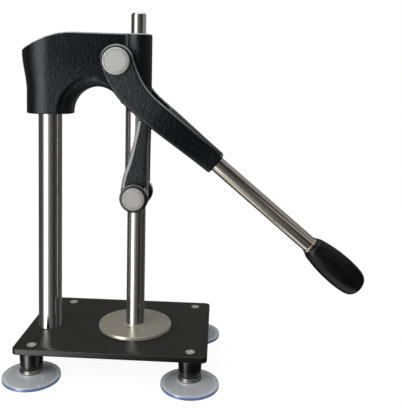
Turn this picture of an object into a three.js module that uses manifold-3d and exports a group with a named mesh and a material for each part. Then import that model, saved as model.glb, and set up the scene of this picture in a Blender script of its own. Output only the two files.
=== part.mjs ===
// Lever press for citrus juice, a bench-top kitchen tool.
// A base plate on four suction feet carries one steel column. A cast head on the column holds the lever's
// pivot and guides the press shaft. Two links hang from the forked lever arm and push the shaft's cross pin down.
// Units are millimetres. +X runs from the column to the shaft, +Y to the back and +Z up.
import * as THREE from "three";
import { mergeVertices } from "three/addons/utils/BufferGeometryUtils.js";
import Module from "manifold-3d";

const wasm = await Module();
wasm.setup();

// Clearances
const seatGap = 0.3; // between pieces that are fixed to each other
const runGap = 0.5; // beside pieces that swing or slide
const overrun = 2; // how far a cutter reaches past the face that it opens
const mergeDistance = 1e-4; // vertices closer than this are one vertex

// Base plate and its feet
const plateLength = 200;
const plateDepth = 148;
const plateThickness = 6;
const plateCornerRadius = 6;
const plateEdgeRound = 0.7;
const columnFromLeft = 22.5; // column axis to the plate's left edge
const columnFromFront = 64; // column axis to the plate's front edge
const footInsetSide = 17.5;
const footInsetFront = 13;
const rearLeftShift = 14; // the rear left foot stands this much further in, clear of the column
const footHeight = 30; // from the table to the plate's underside
const footScrewDiameter = 5;
const footScrewHeadDiameter = 10;
const footScrewHeadDepth = 2.5;
const footScrewLength = 15;
const hexSocketWidth = 4;
const hexSocketDepth = 1.4;
const stemTopDiameter = 24.8;
const stemBottomDiameter = 22.6;
const stemHeight = 17.2;
const footCollarDiameter = 24;
const footCollarHeight = 3.6;
const footCollarRound = 0.5;
const cupDiameter = 60;
const cupRimThickness = 4.5;
const cupRimRound = 1.3;
const cupDomeRise = 2;
const cupNeckDiameter = 28;
const cupNeckHeight = 1.2;
const cupFlare = 2.4;
const cupRingWidth = 4; // flat ring that touches the table
const cupHollowDepth = 2.4;
const cupSpigotDiameter = 11;
const cupSpigotLength = 9;

// Column
const columnDiameter = 25.4;
const columnWall = 2;
const columnExposed = 238; // from the plate up to the head's collar
const columnInHead = 61;
const columnPlugLength = 30;
const columnBoltDiameter = 8;
const columnBoltHeadWidth = 13;
const columnBoltHeadHeight = 5.3;
const columnBoltLength = 30;
const columnWasherDiameter = 22;
const columnWasherThickness = 1.6;

// Press shaft
const shaftSpacing = 96; // column axis to shaft axis
const rodDiameter = 20;
const tailDiameter = 16;
const tailAboveHead = 22.2;
const tailRound = 3;
const slideTubeDiameter = 26;
const slideTubeBelowPin = 6.5;
const slideTubeEngaged = 6; // how far the tube stays in the head's sleeve at its lowest
const crossPinHeight = 151; // above the plate, at its lowest
const pinDiameter = 8;
const discDiameter = 80;
const discThickness = 3.5;
const discAbovePlate = 3.5;
const discEdgeRound = 0.6;
const discHubDiameter = 23;
const discHubHeight = 1.2;
const discSocketDepth = 1.6;
const discScrewDiameter = 6;
const discScrewHeadDiameter = 10;
const discScrewHeadDepth = 2;
const discScrewLength = 14;

// Head
const headHeight = 86.8;
const collarDiameter = 50;
const hoodFlare = 5; // how much the hood over the collar grows in radius
const hoodFlareStart = 24; // above the collar's lower edge
const hoodCornerHeight = 66.9; // the hood's left corner, above the collar's lower edge
const hoodSlope = THREE.MathUtils.degToRad(23.7);
const hoodBlend = 15; // length of the bend between slope and flat top, each way
const sleeveWall = 1.7;
const sleeveRise = 12; // the sleeve's lower end, above the collar's lower edge
const topWall = 9;
const archRise = 2; // the arch's centre, above the collar's lower edge
const archEdgeRound = 10.5;
const creaseRound = 4; // concave corner between the head's walls and the sleeve
const archFlat = 6; // half of the arch's straight part, across the head
const bushWall = 1.7;
const setScrewDiameter = 6;
const setScrewRecess = 2; // from the collar's surface

// Lever, in its own frame: the pivot is the origin, X runs along the handle and Z square to it
const pivotWall = 1.7; // metal between the pivot's bore and the sleeve's bore
const pivotHeight = 56.7; // above the collar's lower edge
const pivotBossDiameter = 30;
const restAngle = THREE.MathUtils.degToRad(40); // handle below the level, at rest
const cheekThickness = 6;
const eyeDiameter = 36;
const armLength = 150;
const armTopDrop = 2;
const armBelly = 30.1;
const armBellyAt = 60;
const armTopBlendAt = 58;
const socketWall = 3.5; // metal above and below the handle's tube
const socketSideWall = 4.2;
const forkLength = 62; // where the two cheeks start to draw together
const forkGapEnd = 73;
const forkGapRound = 6;
const cheekEdgeRound = 2.4;
const socketEdgeRound = 10.5;
const socketEndRound = 1.6;
const socketDepth = 32;
const pivotCapDiameter = 28.4;
const pivotCapThickness = 5;
const capRound = 1.8;
const handleDiameter = 17.6;
const handleWall = 2;
const handleExposed = 133; // from the socket to the ring at the grip
const handleInGrip = 34;
const handleRingWall = 0.7;
const handleRingLength = 2.6;
const gripLength = 69.4;
const gripSwell = 7.9; // how far the grip's thickest part stands out from the tube
const handleScrewDiameter = 5;
const handleScrewSeat = 12; // from the socket's end

// Links
const linkThickness = 5;
const linkPivotAlong = 55; // upper link pivot, in the lever's frame
const linkPivotDrop = 22;
const linkEyeDiameter = 30.4;
const linkTopDiameter = 14;
const linkEdgeRound = 1.6;
const linkEyeRise = 5.5; // how far the lower eye stands out from the link
const linkStubDepth = 2.6; // the stub pin in the lever's cheek
const crossCapDiameter = 23.8;
const crossCapThickness = 3.8;
const strokeAngle = THREE.MathUtils.degToRad(60); // how far the lever lifts

// Facets
const roundSides = 36;
const midSides = 24;
const footSides = 24;
const smallSides = 16;
const hexSides = 6;

// Places that follow from the sizes
const plateUnderside = -plateThickness;
const tableLevel = plateUnderside - footHeight;
const collarBottom = columnExposed;
const headTop = collarBottom + headHeight;
const tubeRadius = slideTubeDiameter / 2;
const tubeBoreRadius = rodDiameter / 2 + seatGap;
const sleeveBoreRadius = tubeRadius + seatGap;
const sleeveRadius = sleeveBoreRadius + sleeveWall;
const sleeveBottom = collarBottom + sleeveRise;
const pinRadius = pinDiameter / 2;
const pinBoreRadius = pinRadius + seatGap;
const pivotX = shaftSpacing - sleeveBoreRadius - pivotWall - pinBoreRadius;
const pivotZ = collarBottom + pivotHeight;
const linkInner = sleeveRadius + runGap;
const linkOuter = linkInner + linkThickness;
const cheekInner = linkOuter + runGap;
const cheekOuter = cheekInner + cheekThickness;
const eyeOuter = linkOuter + linkEyeRise;
const slideTubeBottom = crossPinHeight - slideTubeBelowPin;
const slideTubeTop = sleeveBottom + slideTubeEngaged;
const socketHeight = handleDiameter + 2 * socketWall;
const socketWidth = handleDiameter + 2 * socketSideWall;
const handleAxisDrop = armTopDrop + socketHeight / 2;
const discTop = discAbovePlate + discThickness;

// Solids: closed geometries are joined and cut as manifold solids.
function solidOf(geometry) {
  const bare = geometry.clone();
  for (const name of Object.keys(bare.attributes)) {
    if (name !== "position") bare.deleteAttribute(name);
  }
  const merged = mergeVertices(bare, mergeDistance);
  const vertProperties = merged.attributes.position.array;
  const triVerts = new Uint32Array(merged.index.array);
  return new wasm.Manifold(new wasm.Mesh({ numProp: 3, vertProperties, triVerts }));
}

function geometryOf(solid) {
  const { numProp, numVert, vertProperties, triVerts } = solid.getMesh();
  const positions = new Float32Array(numVert * 3);
  for (let i = 0; i < numVert; i++) {
    positions.set(vertProperties.subarray(i * numProp, i * numProp + 3), i * 3);
  }
  const geometry = new THREE.BufferGeometry();
  geometry.setAttribute("position", new THREE.BufferAttribute(positions, 3));
  geometry.setIndex(new THREE.BufferAttribute(triVerts, 1));
  const faceted = geometry.toNonIndexed();
  faceted.computeVertexNormals();
  return faceted;
}

function cut(body, ...tools) {
  return geometryOf(tools.reduce((left, tool) => left.subtract(solidOf(tool)), solidOf(body)));
}

function join(body, ...others) {
  return geometryOf(others.reduce((sum, other) => sum.add(solidOf(other)), solidOf(body)));
}

function common(body, other) {
  return geometryOf(solidOf(body).intersect(solidOf(other)));
}

function wrapped(...bodies) {
  return geometryOf(wasm.Manifold.hull(bodies.map(solidOf)));
}

// A body turned on the Z axis from [radius, height] points that run from the foot up.
function turned(profile, sides) {
  const points = profile.map(([radius, height]) => new THREE.Vector2(radius, height));
  return new THREE.LatheGeometry(points, sides).rotateX(Math.PI / 2);
}

// A body turned on a line along Y, from [radius, y] points that run from the front to the back.
function turnedAcross(profile, sides) {
  const points = profile.map(([radius, y]) => new THREE.Vector2(radius, y));
  return new THREE.LatheGeometry(points, sides);
}

// A body turned on the lever's X axis, from [radius, x] points that run outwards.
function turnedAlong(profile, sides) {
  const points = profile.map(([radius, x]) => new THREE.Vector2(radius, x));
  return new THREE.LatheGeometry(points, sides).rotateZ(-Math.PI / 2).rotateX(Math.PI / 2);
}

function bar(radius, from, to, sides) {
  return turned([[0, from], [radius, from], [radius, to], [0, to]], sides);
}

function crossBar(radius, from, to, sides) {
  return turnedAcross([[0, from], [radius, from], [radius, to], [0, to]], sides);
}

function longBar(radius, from, to, sides) {
  return turnedAlong([[0, from], [radius, from], [radius, to], [0, to]], sides);
}

function ring(outer, inner, from, to, sides) {
  return turned([[inner, from], [outer, from], [outer, to], [inner, to], [inner, from]], sides);
}

// An upright plate: its outline is drawn in X and Z, and it fills the space between two places on Y.
function uprightPlate(shape, from, to, round = 0) {
  const options = {
    depth: to - from - 2 * round,
    bevelEnabled: round > 0,
    bevelThickness: round,
    bevelSize: round,
    bevelOffset: -round,
    bevelSegments: 1,
    curveSegments: 10,
  };
  return new THREE.ExtrudeGeometry(shape, options).rotateX(Math.PI / 2).translate(0, to - round, 0);
}

// A flat plate: its outline is drawn in X and Y, and it fills the space between two heights.
function flatPlate(shape, from, to, round = 0) {
  const options = {
    depth: to - from - 2 * round,
    bevelEnabled: round > 0,
    bevelThickness: round,
    bevelSize: round,
    bevelOffset: -round,
    bevelSegments: 1,
    curveSegments: 5,
  };
  return new THREE.ExtrudeGeometry(shape, options).translate(0, 0, from + round);
}

// A body lofted through closed rings of [x, y, z] points, each ring anticlockwise seen from the last one.
function loft(rings) {
  const count = rings[0].length;
  const positions = rings.flat(2);
  const index = [];
  for (let level = 0; level < rings.length - 1; level++) {
    for (let i = 0; i < count; i++) {
      const next = (i + 1) % count;
      const a = level * count + i;
      const b = level * count + next;
      index.push(a, b, b + count, a, b + count, a + count);
    }
  }
  for (const [ringNumber, turnedOver] of [[0, true], [rings.length - 1, false]]) {
    const start = ringNumber * count;
    for (let i = 1; i < count - 1; i++) {
      if (turnedOver) index.push(start, start + i + 1, start + i);
      else index.push(start, start + i, start + i + 1);
    }
  }
  const geometry = new THREE.BufferGeometry();
  geometry.setAttribute("position", new THREE.Float32BufferAttribute(positions, 3));
  geometry.setIndex(index);
  return geometry;
}

function roundedRectangle(left, right, low, high, radius) {
  const shape = new THREE.Shape();
  shape.moveTo(left + radius, low);
  shape.lineTo(right - radius, low);
  shape.absarc(right - radius, low + radius, radius, -Math.PI / 2, 0);
  shape.lineTo(right, high - radius);
  shape.absarc(right - radius, high - radius, radius, 0, Math.PI / 2);
  shape.lineTo(left + radius, high);
  shape.absarc(left + radius, high - radius, radius, Math.PI / 2, Math.PI);
  shape.lineTo(left, low + radius);
  shape.absarc(left + radius, low + radius, radius, Math.PI, 1.5 * Math.PI);
  return shape;
}

// Materials
const castBlack = new THREE.MeshStandardMaterial({ color: 0x1d2024, roughness: 0.5, metalness: 0.2 });
const plateBlack = new THREE.MeshStandardMaterial({ color: 0x26261f, roughness: 0.25, metalness: 0.1 });
const steel = new THREE.MeshStandardMaterial({ color: 0xb9b7b2, roughness: 0.22, metalness: 1 });
const satinSteel = new THREE.MeshStandardMaterial({ color: 0xb4b3af, roughness: 0.4, metalness: 1 });
const capMetal = new THREE.MeshStandardMaterial({ color: 0xb8b8b6, roughness: 0.38, metalness: 0.9 });
const glossBlack = new THREE.MeshStandardMaterial({ color: 0x0d0d0e, roughness: 0.15, metalness: 0 });
const clearVinyl = new THREE.MeshStandardMaterial({ color: 0x9a9c9e, roughness: 0.2, metalness: 0 });
const bronze = new THREE.MeshStandardMaterial({ color: 0x8f6f42, roughness: 0.45, metalness: 0.9 });

function piece(name, geometry, material) {
  const mesh = new THREE.Mesh(geometry, material);
  mesh.name = name;
  return mesh;
}

// A countersunk screw whose head's face is at height zero, with its cone and shank below.
function countersunkScrew(diameter, headDiameter, headDepth, length) {
  const radius = diameter / 2;
  const body = turned(
    [[0, -length], [radius, -length], [radius, -headDepth], [headDiameter / 2, 0], [0, 0]],
    smallSides,
  );
  const socket = bar(hexSocketWidth / 2, -hexSocketDepth, overrun, hexSides);
  return cut(body, socket);
}

// The space that such a screw needs in the plate that it holds.
function countersink(diameter, headDiameter, headDepth, through) {
  const radius = diameter / 2 + seatGap;
  const headRadius = headDiameter / 2 + seatGap;
  return turned(
    [[0, -through], [radius, -through], [radius, -headDepth], [headRadius, 0], [headRadius, overrun], [0, overrun]],
    smallSides,
  );
}

// Base plate
const plateLeft = -columnFromLeft;
const plateRight = plateLeft + plateLength;
const plateFront = -columnFromFront;
const plateBack = plateFront + plateDepth;
const feet = [
  { place: "front_left", x: plateLeft + footInsetSide, y: plateFront + footInsetFront },
  { place: "front_right", x: plateRight - footInsetSide, y: plateFront + footInsetFront },
  { place: "rear_right", x: plateRight - footInsetSide, y: plateBack - footInsetFront },
  { place: "rear_left", x: plateLeft + footInsetSide + rearLeftShift, y: plateBack - footInsetFront },
];

function makeBasePlate() {
  const outline = roundedRectangle(plateLeft, plateRight, plateFront, plateBack, plateCornerRadius);
  const screwHoles = feet.map(({ x, y }) =>
    countersink(footScrewDiameter, footScrewHeadDiameter, footScrewHeadDepth, plateThickness + overrun)
      .translate(x, y, 0),
  );
  const boltHole = bar(columnBoltDiameter / 2 + seatGap, plateUnderside - overrun, overrun, smallSides);
  return cut(flatPlate(outline, plateUnderside, 0, plateEdgeRound), ...screwHoles, boltHole);
}

// Feet: a black stem under the plate, a suction cup below it and a screw from above
const stemTop = plateUnderside - seatGap;
const stemBottom = stemTop - stemHeight;
const footCollarTop = stemBottom - seatGap;
const footCollarBottom = footCollarTop - footCollarHeight;
const cupNeckTop = footCollarBottom - seatGap;
const cupSpigotRadius = cupSpigotDiameter / 2;

function makeStem() {
  const outer = turned(
    [[0, stemBottom], [stemBottomDiameter / 2, stemBottom], [stemTopDiameter / 2, stemTop], [0, stemTop]],
    footSides,
  );
  const screwHole = bar(footScrewDiameter / 2 + seatGap, -footScrewLength - seatGap, overrun, smallSides);
  const cupHole = bar(
    cupSpigotRadius + seatGap,
    stemBottom - overrun,
    cupNeckTop + cupSpigotLength + seatGap,
    smallSides,
  );
  return cut(outer, screwHole, cupHole);
}

function makeFootCollar() {
  const outer = footCollarDiameter / 2;
  const inner = cupSpigotRadius + seatGap;
  return turned(
    [[inner, footCollarBottom], [outer, footCollarBottom], [outer, footCollarTop - footCollarRound],
      [outer - footCollarRound, footCollarTop], [inner, footCollarTop], [inner, footCollarBottom]],
    footSides,
  );
}

function makeCup() {
  const rim = cupDiameter / 2;
  const neck = cupNeckDiameter / 2;
  const rimTop = tableLevel + cupRimThickness;
  const domeTop = rimTop + cupDomeRise;
  const ringInner = rim - cupRimRound - cupRingWidth;
  const hollow = new THREE.QuadraticBezierCurve(
    new THREE.Vector2(0, tableLevel + cupHollowDepth),
    new THREE.Vector2(neck, tableLevel + cupHollowDepth),
    new THREE.Vector2(ringInner, tableLevel),
  );
  const dome = new THREE.CubicBezierCurve(
    new THREE.Vector2(rim - cupRimRound, rimTop),
    new THREE.Vector2((rim + neck) / 2, domeTop),
    new THREE.Vector2(neck + cupFlare, domeTop),
    new THREE.Vector2(neck, cupNeckTop - cupNeckHeight),
  );
  const profile = [
    ...hollow.getPoints(2),
    new THREE.Vector2(rim - cupRimRound, tableLevel),
    new THREE.Vector2(rim, tableLevel + cupRimRound),
    new THREE.Vector2(rim, rimTop - cupRimRound),
    ...dome.getPoints(4),
    new THREE.Vector2(neck, cupNeckTop),
    new THREE.Vector2(cupSpigotRadius, cupNeckTop),
    new THREE.Vector2(cupSpigotRadius, cupNeckTop + cupSpigotLength),
    new THREE.Vector2(0, cupNeckTop + cupSpigotLength),
  ];
  return turned(profile.map(({ x, y }) => [x, y]), footSides);
}

// Column, with the threaded plug, washer and bolt that hold it to the plate
const columnRadius = columnDiameter / 2;
const columnBoreRadius = columnRadius - columnWall;

function makeColumn() {
  return ring(columnRadius, columnBoreRadius, seatGap, collarBottom + columnInHead, roundSides);
}

function makeColumnPlug() {
  const outer = columnBoreRadius - seatGap;
  return ring(outer, columnBoltDiameter / 2 + seatGap, seatGap, seatGap + columnPlugLength, midSides);
}

const washerTop = plateUnderside - seatGap;
const boltHeadTop = washerTop - columnWasherThickness - seatGap;

function makeColumnWasher() {
  const bore = columnBoltDiameter / 2 + seatGap;
  return ring(columnWasherDiameter / 2, bore, washerTop - columnWasherThickness, washerTop, midSides);
}

function makeColumnBolt() {
  const headRadius = columnBoltHeadWidth / 2 / Math.cos(Math.PI / hexSides);
  const head = bar(headRadius, boltHeadTop - columnBoltHeadHeight, boltHeadTop, hexSides);
  const shank = bar(columnBoltDiameter / 2, boltHeadTop - overrun, boltHeadTop + columnBoltLength, smallSides);
  return join(head, shank);
}

// Head: plan outlines are lofted upwards, then the side outline trims them
const collarRadius = collarDiameter / 2;
const archRadius = (shaftSpacing - sleeveRadius - collarRadius) / 2;
const archX = collarRadius + archRadius;
const archZ = collarBottom + archRise;
const sleeveJoint = 0.75 * Math.PI; // where the head's walls meet the sleeve, round its axis
const flareLevels = 4;

function arcPoints(x, y, radius, from, to, steps) {
  return Array.from({ length: steps + 1 }, (_, i) => {
    const angle = from + ((to - from) * i) / steps;
    return [x + radius * Math.cos(angle), y + radius * Math.sin(angle)];
  });
}

// Half of the plan: the sleeve's arc, a concave corner, a straight wall and the collar's arc.
function headPlan(radius, height) {
  const jointX = shaftSpacing + sleeveRadius * Math.cos(sleeveJoint);
  const jointY = sleeveRadius * Math.sin(sleeveJoint);
  const tangent = Math.atan2(jointY, jointX) + Math.acos(radius / Math.hypot(jointX, jointY));
  const out = radius + creaseRound - shaftSpacing * Math.cos(tangent);
  const along = Math.sqrt((sleeveRadius + creaseRound) ** 2 - out ** 2);
  const cornerX = shaftSpacing + out * Math.cos(tangent) - along * Math.sin(tangent);
  const cornerY = out * Math.sin(tangent) + along * Math.cos(tangent);
  const meeting = Math.atan2(cornerY, cornerX - shaftSpacing);
  const half = [
    ...arcPoints(shaftSpacing, 0, sleeveRadius, 0, meeting, 8),
    ...arcPoints(cornerX, cornerY, creaseRound, meeting - Math.PI, tangent - Math.PI, 3).slice(1),
    ...arcPoints(0, 0, radius, tangent, Math.PI, 9),
  ];
  const back = half.slice(1, -1).reverse().map(([x, y]) => [x, -y]);
  return [...half, ...back].map(([x, y]) => [x, y, height]);
}

function headSide() {
  const hoodLeft = -collarRadius - hoodFlare;
  const cornerZ = collarBottom + hoodCornerHeight;
  const bendX = hoodLeft + (headTop - cornerZ) / Math.tan(hoodSlope);
  const slopeX = bendX - hoodBlend * Math.cos(hoodSlope);
  const slopeZ = headTop - hoodBlend * Math.sin(hoodSlope);
  const openAngle = Math.asin((sleeveBottom - archZ) / archRadius);
  const shape = new THREE.Shape();
  shape.moveTo(hoodLeft - overrun, collarBottom);
  shape.lineTo(collarRadius, collarBottom);
  shape.lineTo(collarRadius, archZ);
  shape.absarc(archX, archZ, archRadius, Math.PI, openAngle, true);
  shape.lineTo(shaftSpacing + sleeveRadius + overrun, sleeveBottom);
  shape.lineTo(shaftSpacing + sleeveRadius + overrun, headTop);
  shape.lineTo(bendX + hoodBlend, headTop);
  shape.quadraticCurveTo(bendX, headTop, slopeX, slopeZ);
  shape.lineTo(hoodLeft - overrun, cornerZ - overrun * Math.tan(hoodSlope));
  return shape;
}

// The arch's lower edge is rounded towards both walls, so its cutter is turned and widens outwards.
function archCutter() {
  const steps = 3;
  const edge = [];
  for (let i = 0; i <= steps; i++) {
    const angle = (Math.PI / 2) * (i / steps);
    const radius = archRadius + archEdgeRound * (1 - Math.cos(angle));
    edge.push([radius, archFlat + archEdgeRound * Math.sin(angle)]);
  }
  const far = collarRadius + hoodFlare + overrun;
  const behind = [...edge, [archRadius + archEdgeRound, far]];
  const inFront = behind.map(([radius, y]) => [radius, -y]).reverse();
  const profile = [[0, -far], ...inFront, ...behind, [0, far]];
  return turnedAcross(profile, roundSides).translate(archX, 0, archZ);
}

function makeHead() {
  const plans = [headPlan(collarRadius, collarBottom)];
  for (let i = 0; i <= flareLevels; i++) {
    const rise = THREE.MathUtils.lerp(hoodFlareStart, hoodCornerHeight, i / flareLevels);
    const grown = hoodFlare * THREE.MathUtils.smoothstep(i / flareLevels, 0, 1);
    plans.push(headPlan(collarRadius + grown, collarBottom + rise));
  }
  plans.push(headPlan(collarRadius + hoodFlare, headTop));
  const body = common(loft(plans), uprightPlate(headSide(), -collarDiameter, collarDiameter));
  const boss = crossBar(pivotBossDiameter / 2, -cheekInner + seatGap, cheekInner - seatGap, midSides)
    .translate(pivotX, 0, pivotZ);
  const columnBore = bar(
    columnRadius + seatGap,
    collarBottom - overrun,
    collarBottom + columnInHead + seatGap,
    roundSides,
  );
  const sleeveBore = bar(sleeveBoreRadius, sleeveBottom - overrun, headTop - topWall, roundSides)
    .translate(shaftSpacing, 0, 0);
  const bushBore = bar(bushOuter + seatGap, headTop - topWall - overrun, headTop + overrun, midSides)
    .translate(shaftSpacing, 0, 0);
  const pivotBore = crossBar(pinBoreRadius, -cheekOuter, cheekOuter, smallSides)
    .translate(pivotX, 0, pivotZ);
  const screwBore = crossBar(setScrewDiameter / 2 + seatGap, 0, collarDiameter, smallSides)
    .translate(0, 0, setScrewZ);
  return cut(join(cut(body, archCutter()), boss), columnBore, sleeveBore, bushBore, pivotBore, screwBore);
}

// Bush for the shaft's tail, in the head's top wall
const bushInner = tailDiameter / 2 + seatGap;
const bushOuter = bushInner + bushWall;

function makeRodBush() {
  return ring(bushOuter, bushInner, headTop - topWall + seatGap, headTop - seatGap, midSides)
    .translate(shaftSpacing, 0, 0);
}

// Set screw through the collar's back, which locks the head on the column
const setScrewZ = collarBottom + columnInHead / 3;
const setScrewLength = collarRadius - columnRadius - seatGap - setScrewRecess;

function makeHeadSetScrew() {
  const start = columnRadius + seatGap;
  const screw = crossBar(setScrewDiameter / 2, start, start + setScrewLength, smallSides);
  const socket = crossBar(
    hexSocketWidth / 2,
    start + setScrewLength - hexSocketDepth,
    start + setScrewLength + overrun,
    hexSides,
  );
  return cut(screw, socket).translate(0, 0, setScrewZ);
}

// A pin across the fork with a flat round cap on its front end, and the loose cap for its rear end.
function cappedPin(capDiameter, capThickness, capFace) {
  const rim = capDiameter / 2;
  const head = turnedAcross(
    [[0, -capFace - capThickness], [rim - capRound, -capFace - capThickness],
      [rim, -capFace - capThickness + capRound], [rim, -capFace], [0, -capFace]],
    midSides,
  );
  const shank = crossBar(pinRadius, -capFace - overrun / 2, capFace + capThickness / 2, smallSides);
  return join(head, shank);
}

function pinCap(capDiameter, capThickness, capFace) {
  const rim = capDiameter / 2;
  const body = turnedAcross(
    [[0, capFace], [rim, capFace], [rim, capFace + capThickness - capRound],
      [rim - capRound, capFace + capThickness], [0, capFace + capThickness]],
    midSides,
  );
  const bore = crossBar(pinBoreRadius, capFace - overrun, capFace + capThickness / 2 + seatGap, smallSides);
  return cut(body, bore);
}

// Lever arm: rounded sections are lofted along the handle's direction
const eyeRadius = eyeDiameter / 2;
const topLeaves = 0.64 * eyeRadius; // where the upper edge leaves the eye's circle
const bottomLeaves = -0.745 * eyeRadius; // where the lower edge leaves it
const sectionStations = 24;

function armTop(x) {
  const circle = Math.sqrt(Math.max(eyeRadius ** 2 - x ** 2, 0));
  if (x <= topLeaves) return circle;
  const start = Math.sqrt(eyeRadius ** 2 - topLeaves ** 2);
  const left = Math.max(1 - (x - topLeaves) / (armTopBlendAt - topLeaves), 0);
  return -armTopDrop + (start + armTopDrop) * left ** 2;
}

function armBottom(x) {
  const circle = Math.sqrt(Math.max(eyeRadius ** 2 - x ** 2, 0));
  if (x <= bottomLeaves) return -circle;
  const start = Math.sqrt(eyeRadius ** 2 - bottomLeaves ** 2);
  const left = Math.max(1 - (x - bottomLeaves) / (armBellyAt - bottomLeaves), 0);
  const endDepth = armTopDrop + socketHeight;
  const run = THREE.MathUtils.clamp((x - armBellyAt) / (armLength - armBellyAt), 0, 1);
  return -armBelly + (armBelly - start) * left ** 3 + (armBelly - endDepth) * run;
}

function armNarrowing(x) {
  return THREE.MathUtils.smoothstep(x, forkLength, armLength);
}

function armHalfWidth(x) {
  return THREE.MathUtils.lerp(cheekOuter, socketWidth / 2, armNarrowing(x));
}

// One section across the arm: a rectangle with round corners, drawn in Y and Z at a place on X.
function armSection(x, shrink = 0) {
  const top = armTop(x) - shrink;
  const bottom = armBottom(x) + shrink;
  const halfWidth = armHalfWidth(x) - shrink;
  const wish = THREE.MathUtils.lerp(cheekEdgeRound, socketEdgeRound, armNarrowing(x)) - shrink;
  const round = Math.min(wish, 0.45 * (top - bottom));
  const corners = [
    [halfWidth - round, bottom + round, -Math.PI / 2],
    [halfWidth - round, top - round, 0],
    [-halfWidth + round, top - round, Math.PI / 2],
    [-halfWidth + round, bottom + round, Math.PI],
  ];
  const cornerSteps = 3;
  return corners.flatMap(([y, z, start]) =>
    Array.from({ length: cornerSteps + 1 }, (_, i) => {
      const angle = start + ((Math.PI / 2) * i) / cornerSteps;
      return [x, y + round * Math.cos(angle), z + round * Math.sin(angle)];
    }),
  );
}

function armStations() {
  const stations = [];
  const roundPart = 7;
  for (let i = 0; i < roundPart; i++) {
    stations.push(-eyeRadius * Math.cos((Math.PI / 2) * ((i + 0.35) / roundPart)));
  }
  const rest = sectionStations - roundPart;
  for (let i = 0; i <= rest; i++) {
    stations.push(((armLength - socketEndRound) * i) / rest);
  }
  return stations;
}

// How far the stub pin drifts from the cheek's bore, in the lever's frame, at a share of the lift.
function linkageAt(lift) {
  const angle = restAngle - lift;
  const x = pivotX + linkPivotAlong * Math.cos(angle) - linkPivotDrop * Math.sin(angle);
  const z = pivotZ - linkPivotAlong * Math.sin(angle) - linkPivotDrop * Math.cos(angle);
  const crossPinZ = z - Math.sqrt(linkLength ** 2 - (x - shaftSpacing) ** 2);
  return { x, z, crossPinZ, lean: Math.atan2(x - shaftSpacing, z - crossPinZ) };
}

const restTopX = pivotX + linkPivotAlong * Math.cos(restAngle) - linkPivotDrop * Math.sin(restAngle);
const restTopZ = pivotZ - linkPivotAlong * Math.sin(restAngle) - linkPivotDrop * Math.cos(restAngle);
const linkLength = Math.hypot(restTopX - shaftSpacing, restTopZ - crossPinHeight);
const lowest = linkageAt(0);
const highest = linkageAt(strokeAngle);

// The shaft and the link follow the lever at steady rates here, so halfway up the stub pin is off its bore.
function stubDrift(share) {
  const steady = (from, to) => from + (to - from) * share;
  const lean = steady(lowest.lean, highest.lean);
  const pinX = shaftSpacing + linkLength * Math.sin(lean);
  const pinZ = steady(lowest.crossPinZ, highest.crossPinZ) + linkLength * Math.cos(lean);
  const seat = linkageAt(strokeAngle * share);
  const angle = restAngle - strokeAngle * share;
  const dx = pinX - seat.x;
  const dz = pinZ - seat.z;
  return {
    x: dx * Math.cos(angle) - dz * Math.sin(angle),
    z: dx * Math.sin(angle) + dz * Math.cos(angle),
  };
}

// The pocket in a cheek's inner face that the stub pin moves in.
function stubPocket(side) {
  const steps = 4;
  const floor = cheekInner + linkStubDepth + seatGap;
  const [from, to] = side < 0 ? [-floor, -cheekInner + overrun] : [cheekInner - overrun, floor];
  const spots = Array.from({ length: steps + 1 }, (_, i) => {
    const drift = stubDrift(i / steps);
    return crossBar(pinBoreRadius + runGap, from, to, smallSides)
      .translate(linkPivotAlong + drift.x, 0, -linkPivotDrop + drift.z);
  });
  return wrapped(...spots);
}

function makeLeverArm() {
  const rings = armStations().map((x) => armSection(x));
  const endRing = armSection(armLength, socketEndRound);
  const solidArm = loft([...rings, endRing]);
  const gap = flatPlate(
    roundedRectangle(-eyeDiameter, forkGapEnd, -cheekInner, cheekInner, forkGapRound),
    -eyeDiameter - armBelly,
    eyeDiameter,
  );
  const pivotBore = crossBar(pinBoreRadius, -cheekOuter - overrun, cheekOuter + overrun, smallSides);
  const socket = longBar(
    handleDiameter / 2 + seatGap,
    armLength - socketDepth,
    armLength + overrun,
    midSides,
  ).translate(0, 0, -handleAxisDrop);
  const screwHole = bar(
    handleScrewDiameter / 2 + seatGap,
    -armBelly - overrun,
    -handleAxisDrop,
    smallSides,
  ).translate(armLength - handleScrewSeat, 0, 0);
  return cut(solidArm, gap, pivotBore, socket, screwHole, stubPocket(-1), stubPocket(1));
}

// Handle tube, its set screw, the ring at the grip and the grip
const handleStart = armLength - socketDepth + seatGap;
const ringStart = armLength + handleExposed;
const gripStart = ringStart + handleRingLength + seatGap;

function tubeAlong(outer, inner, from, to, sides) {
  return turnedAlong([[inner, from], [outer, from], [outer, to], [inner, to], [inner, from]], sides);
}

function makeHandleTube() {
  const outer = handleDiameter / 2;
  return tubeAlong(outer, outer - handleWall, handleStart, gripStart + handleInGrip, midSides);
}

function makeHandleScrew() {
  const screwTop = -handleAxisDrop - handleDiameter / 2 - seatGap;
  const screwFoot = armBottom(armLength - handleScrewSeat) + seatGap;
  return bar(handleScrewDiameter / 2, screwFoot, screwTop, smallSides)
    .translate(armLength - handleScrewSeat, 0, 0);
}

function makeHandleRing() {
  const inner = handleDiameter / 2 + seatGap;
  return tubeAlong(inner + handleRingWall, inner, ringStart, ringStart + handleRingLength, midSides);
}

// Shares of the grip's length and of its largest radius.
const gripShapeShares = [
  [0, 0.655], [0.025, 0.71], [0.1, 0.8], [0.26, 0.916], [0.43, 0.985], [0.55, 1],
  [0.7, 0.98], [0.82, 0.92], [0.905, 0.8], [0.955, 0.64], [0.99, 0.32], [1, 0],
];

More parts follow.
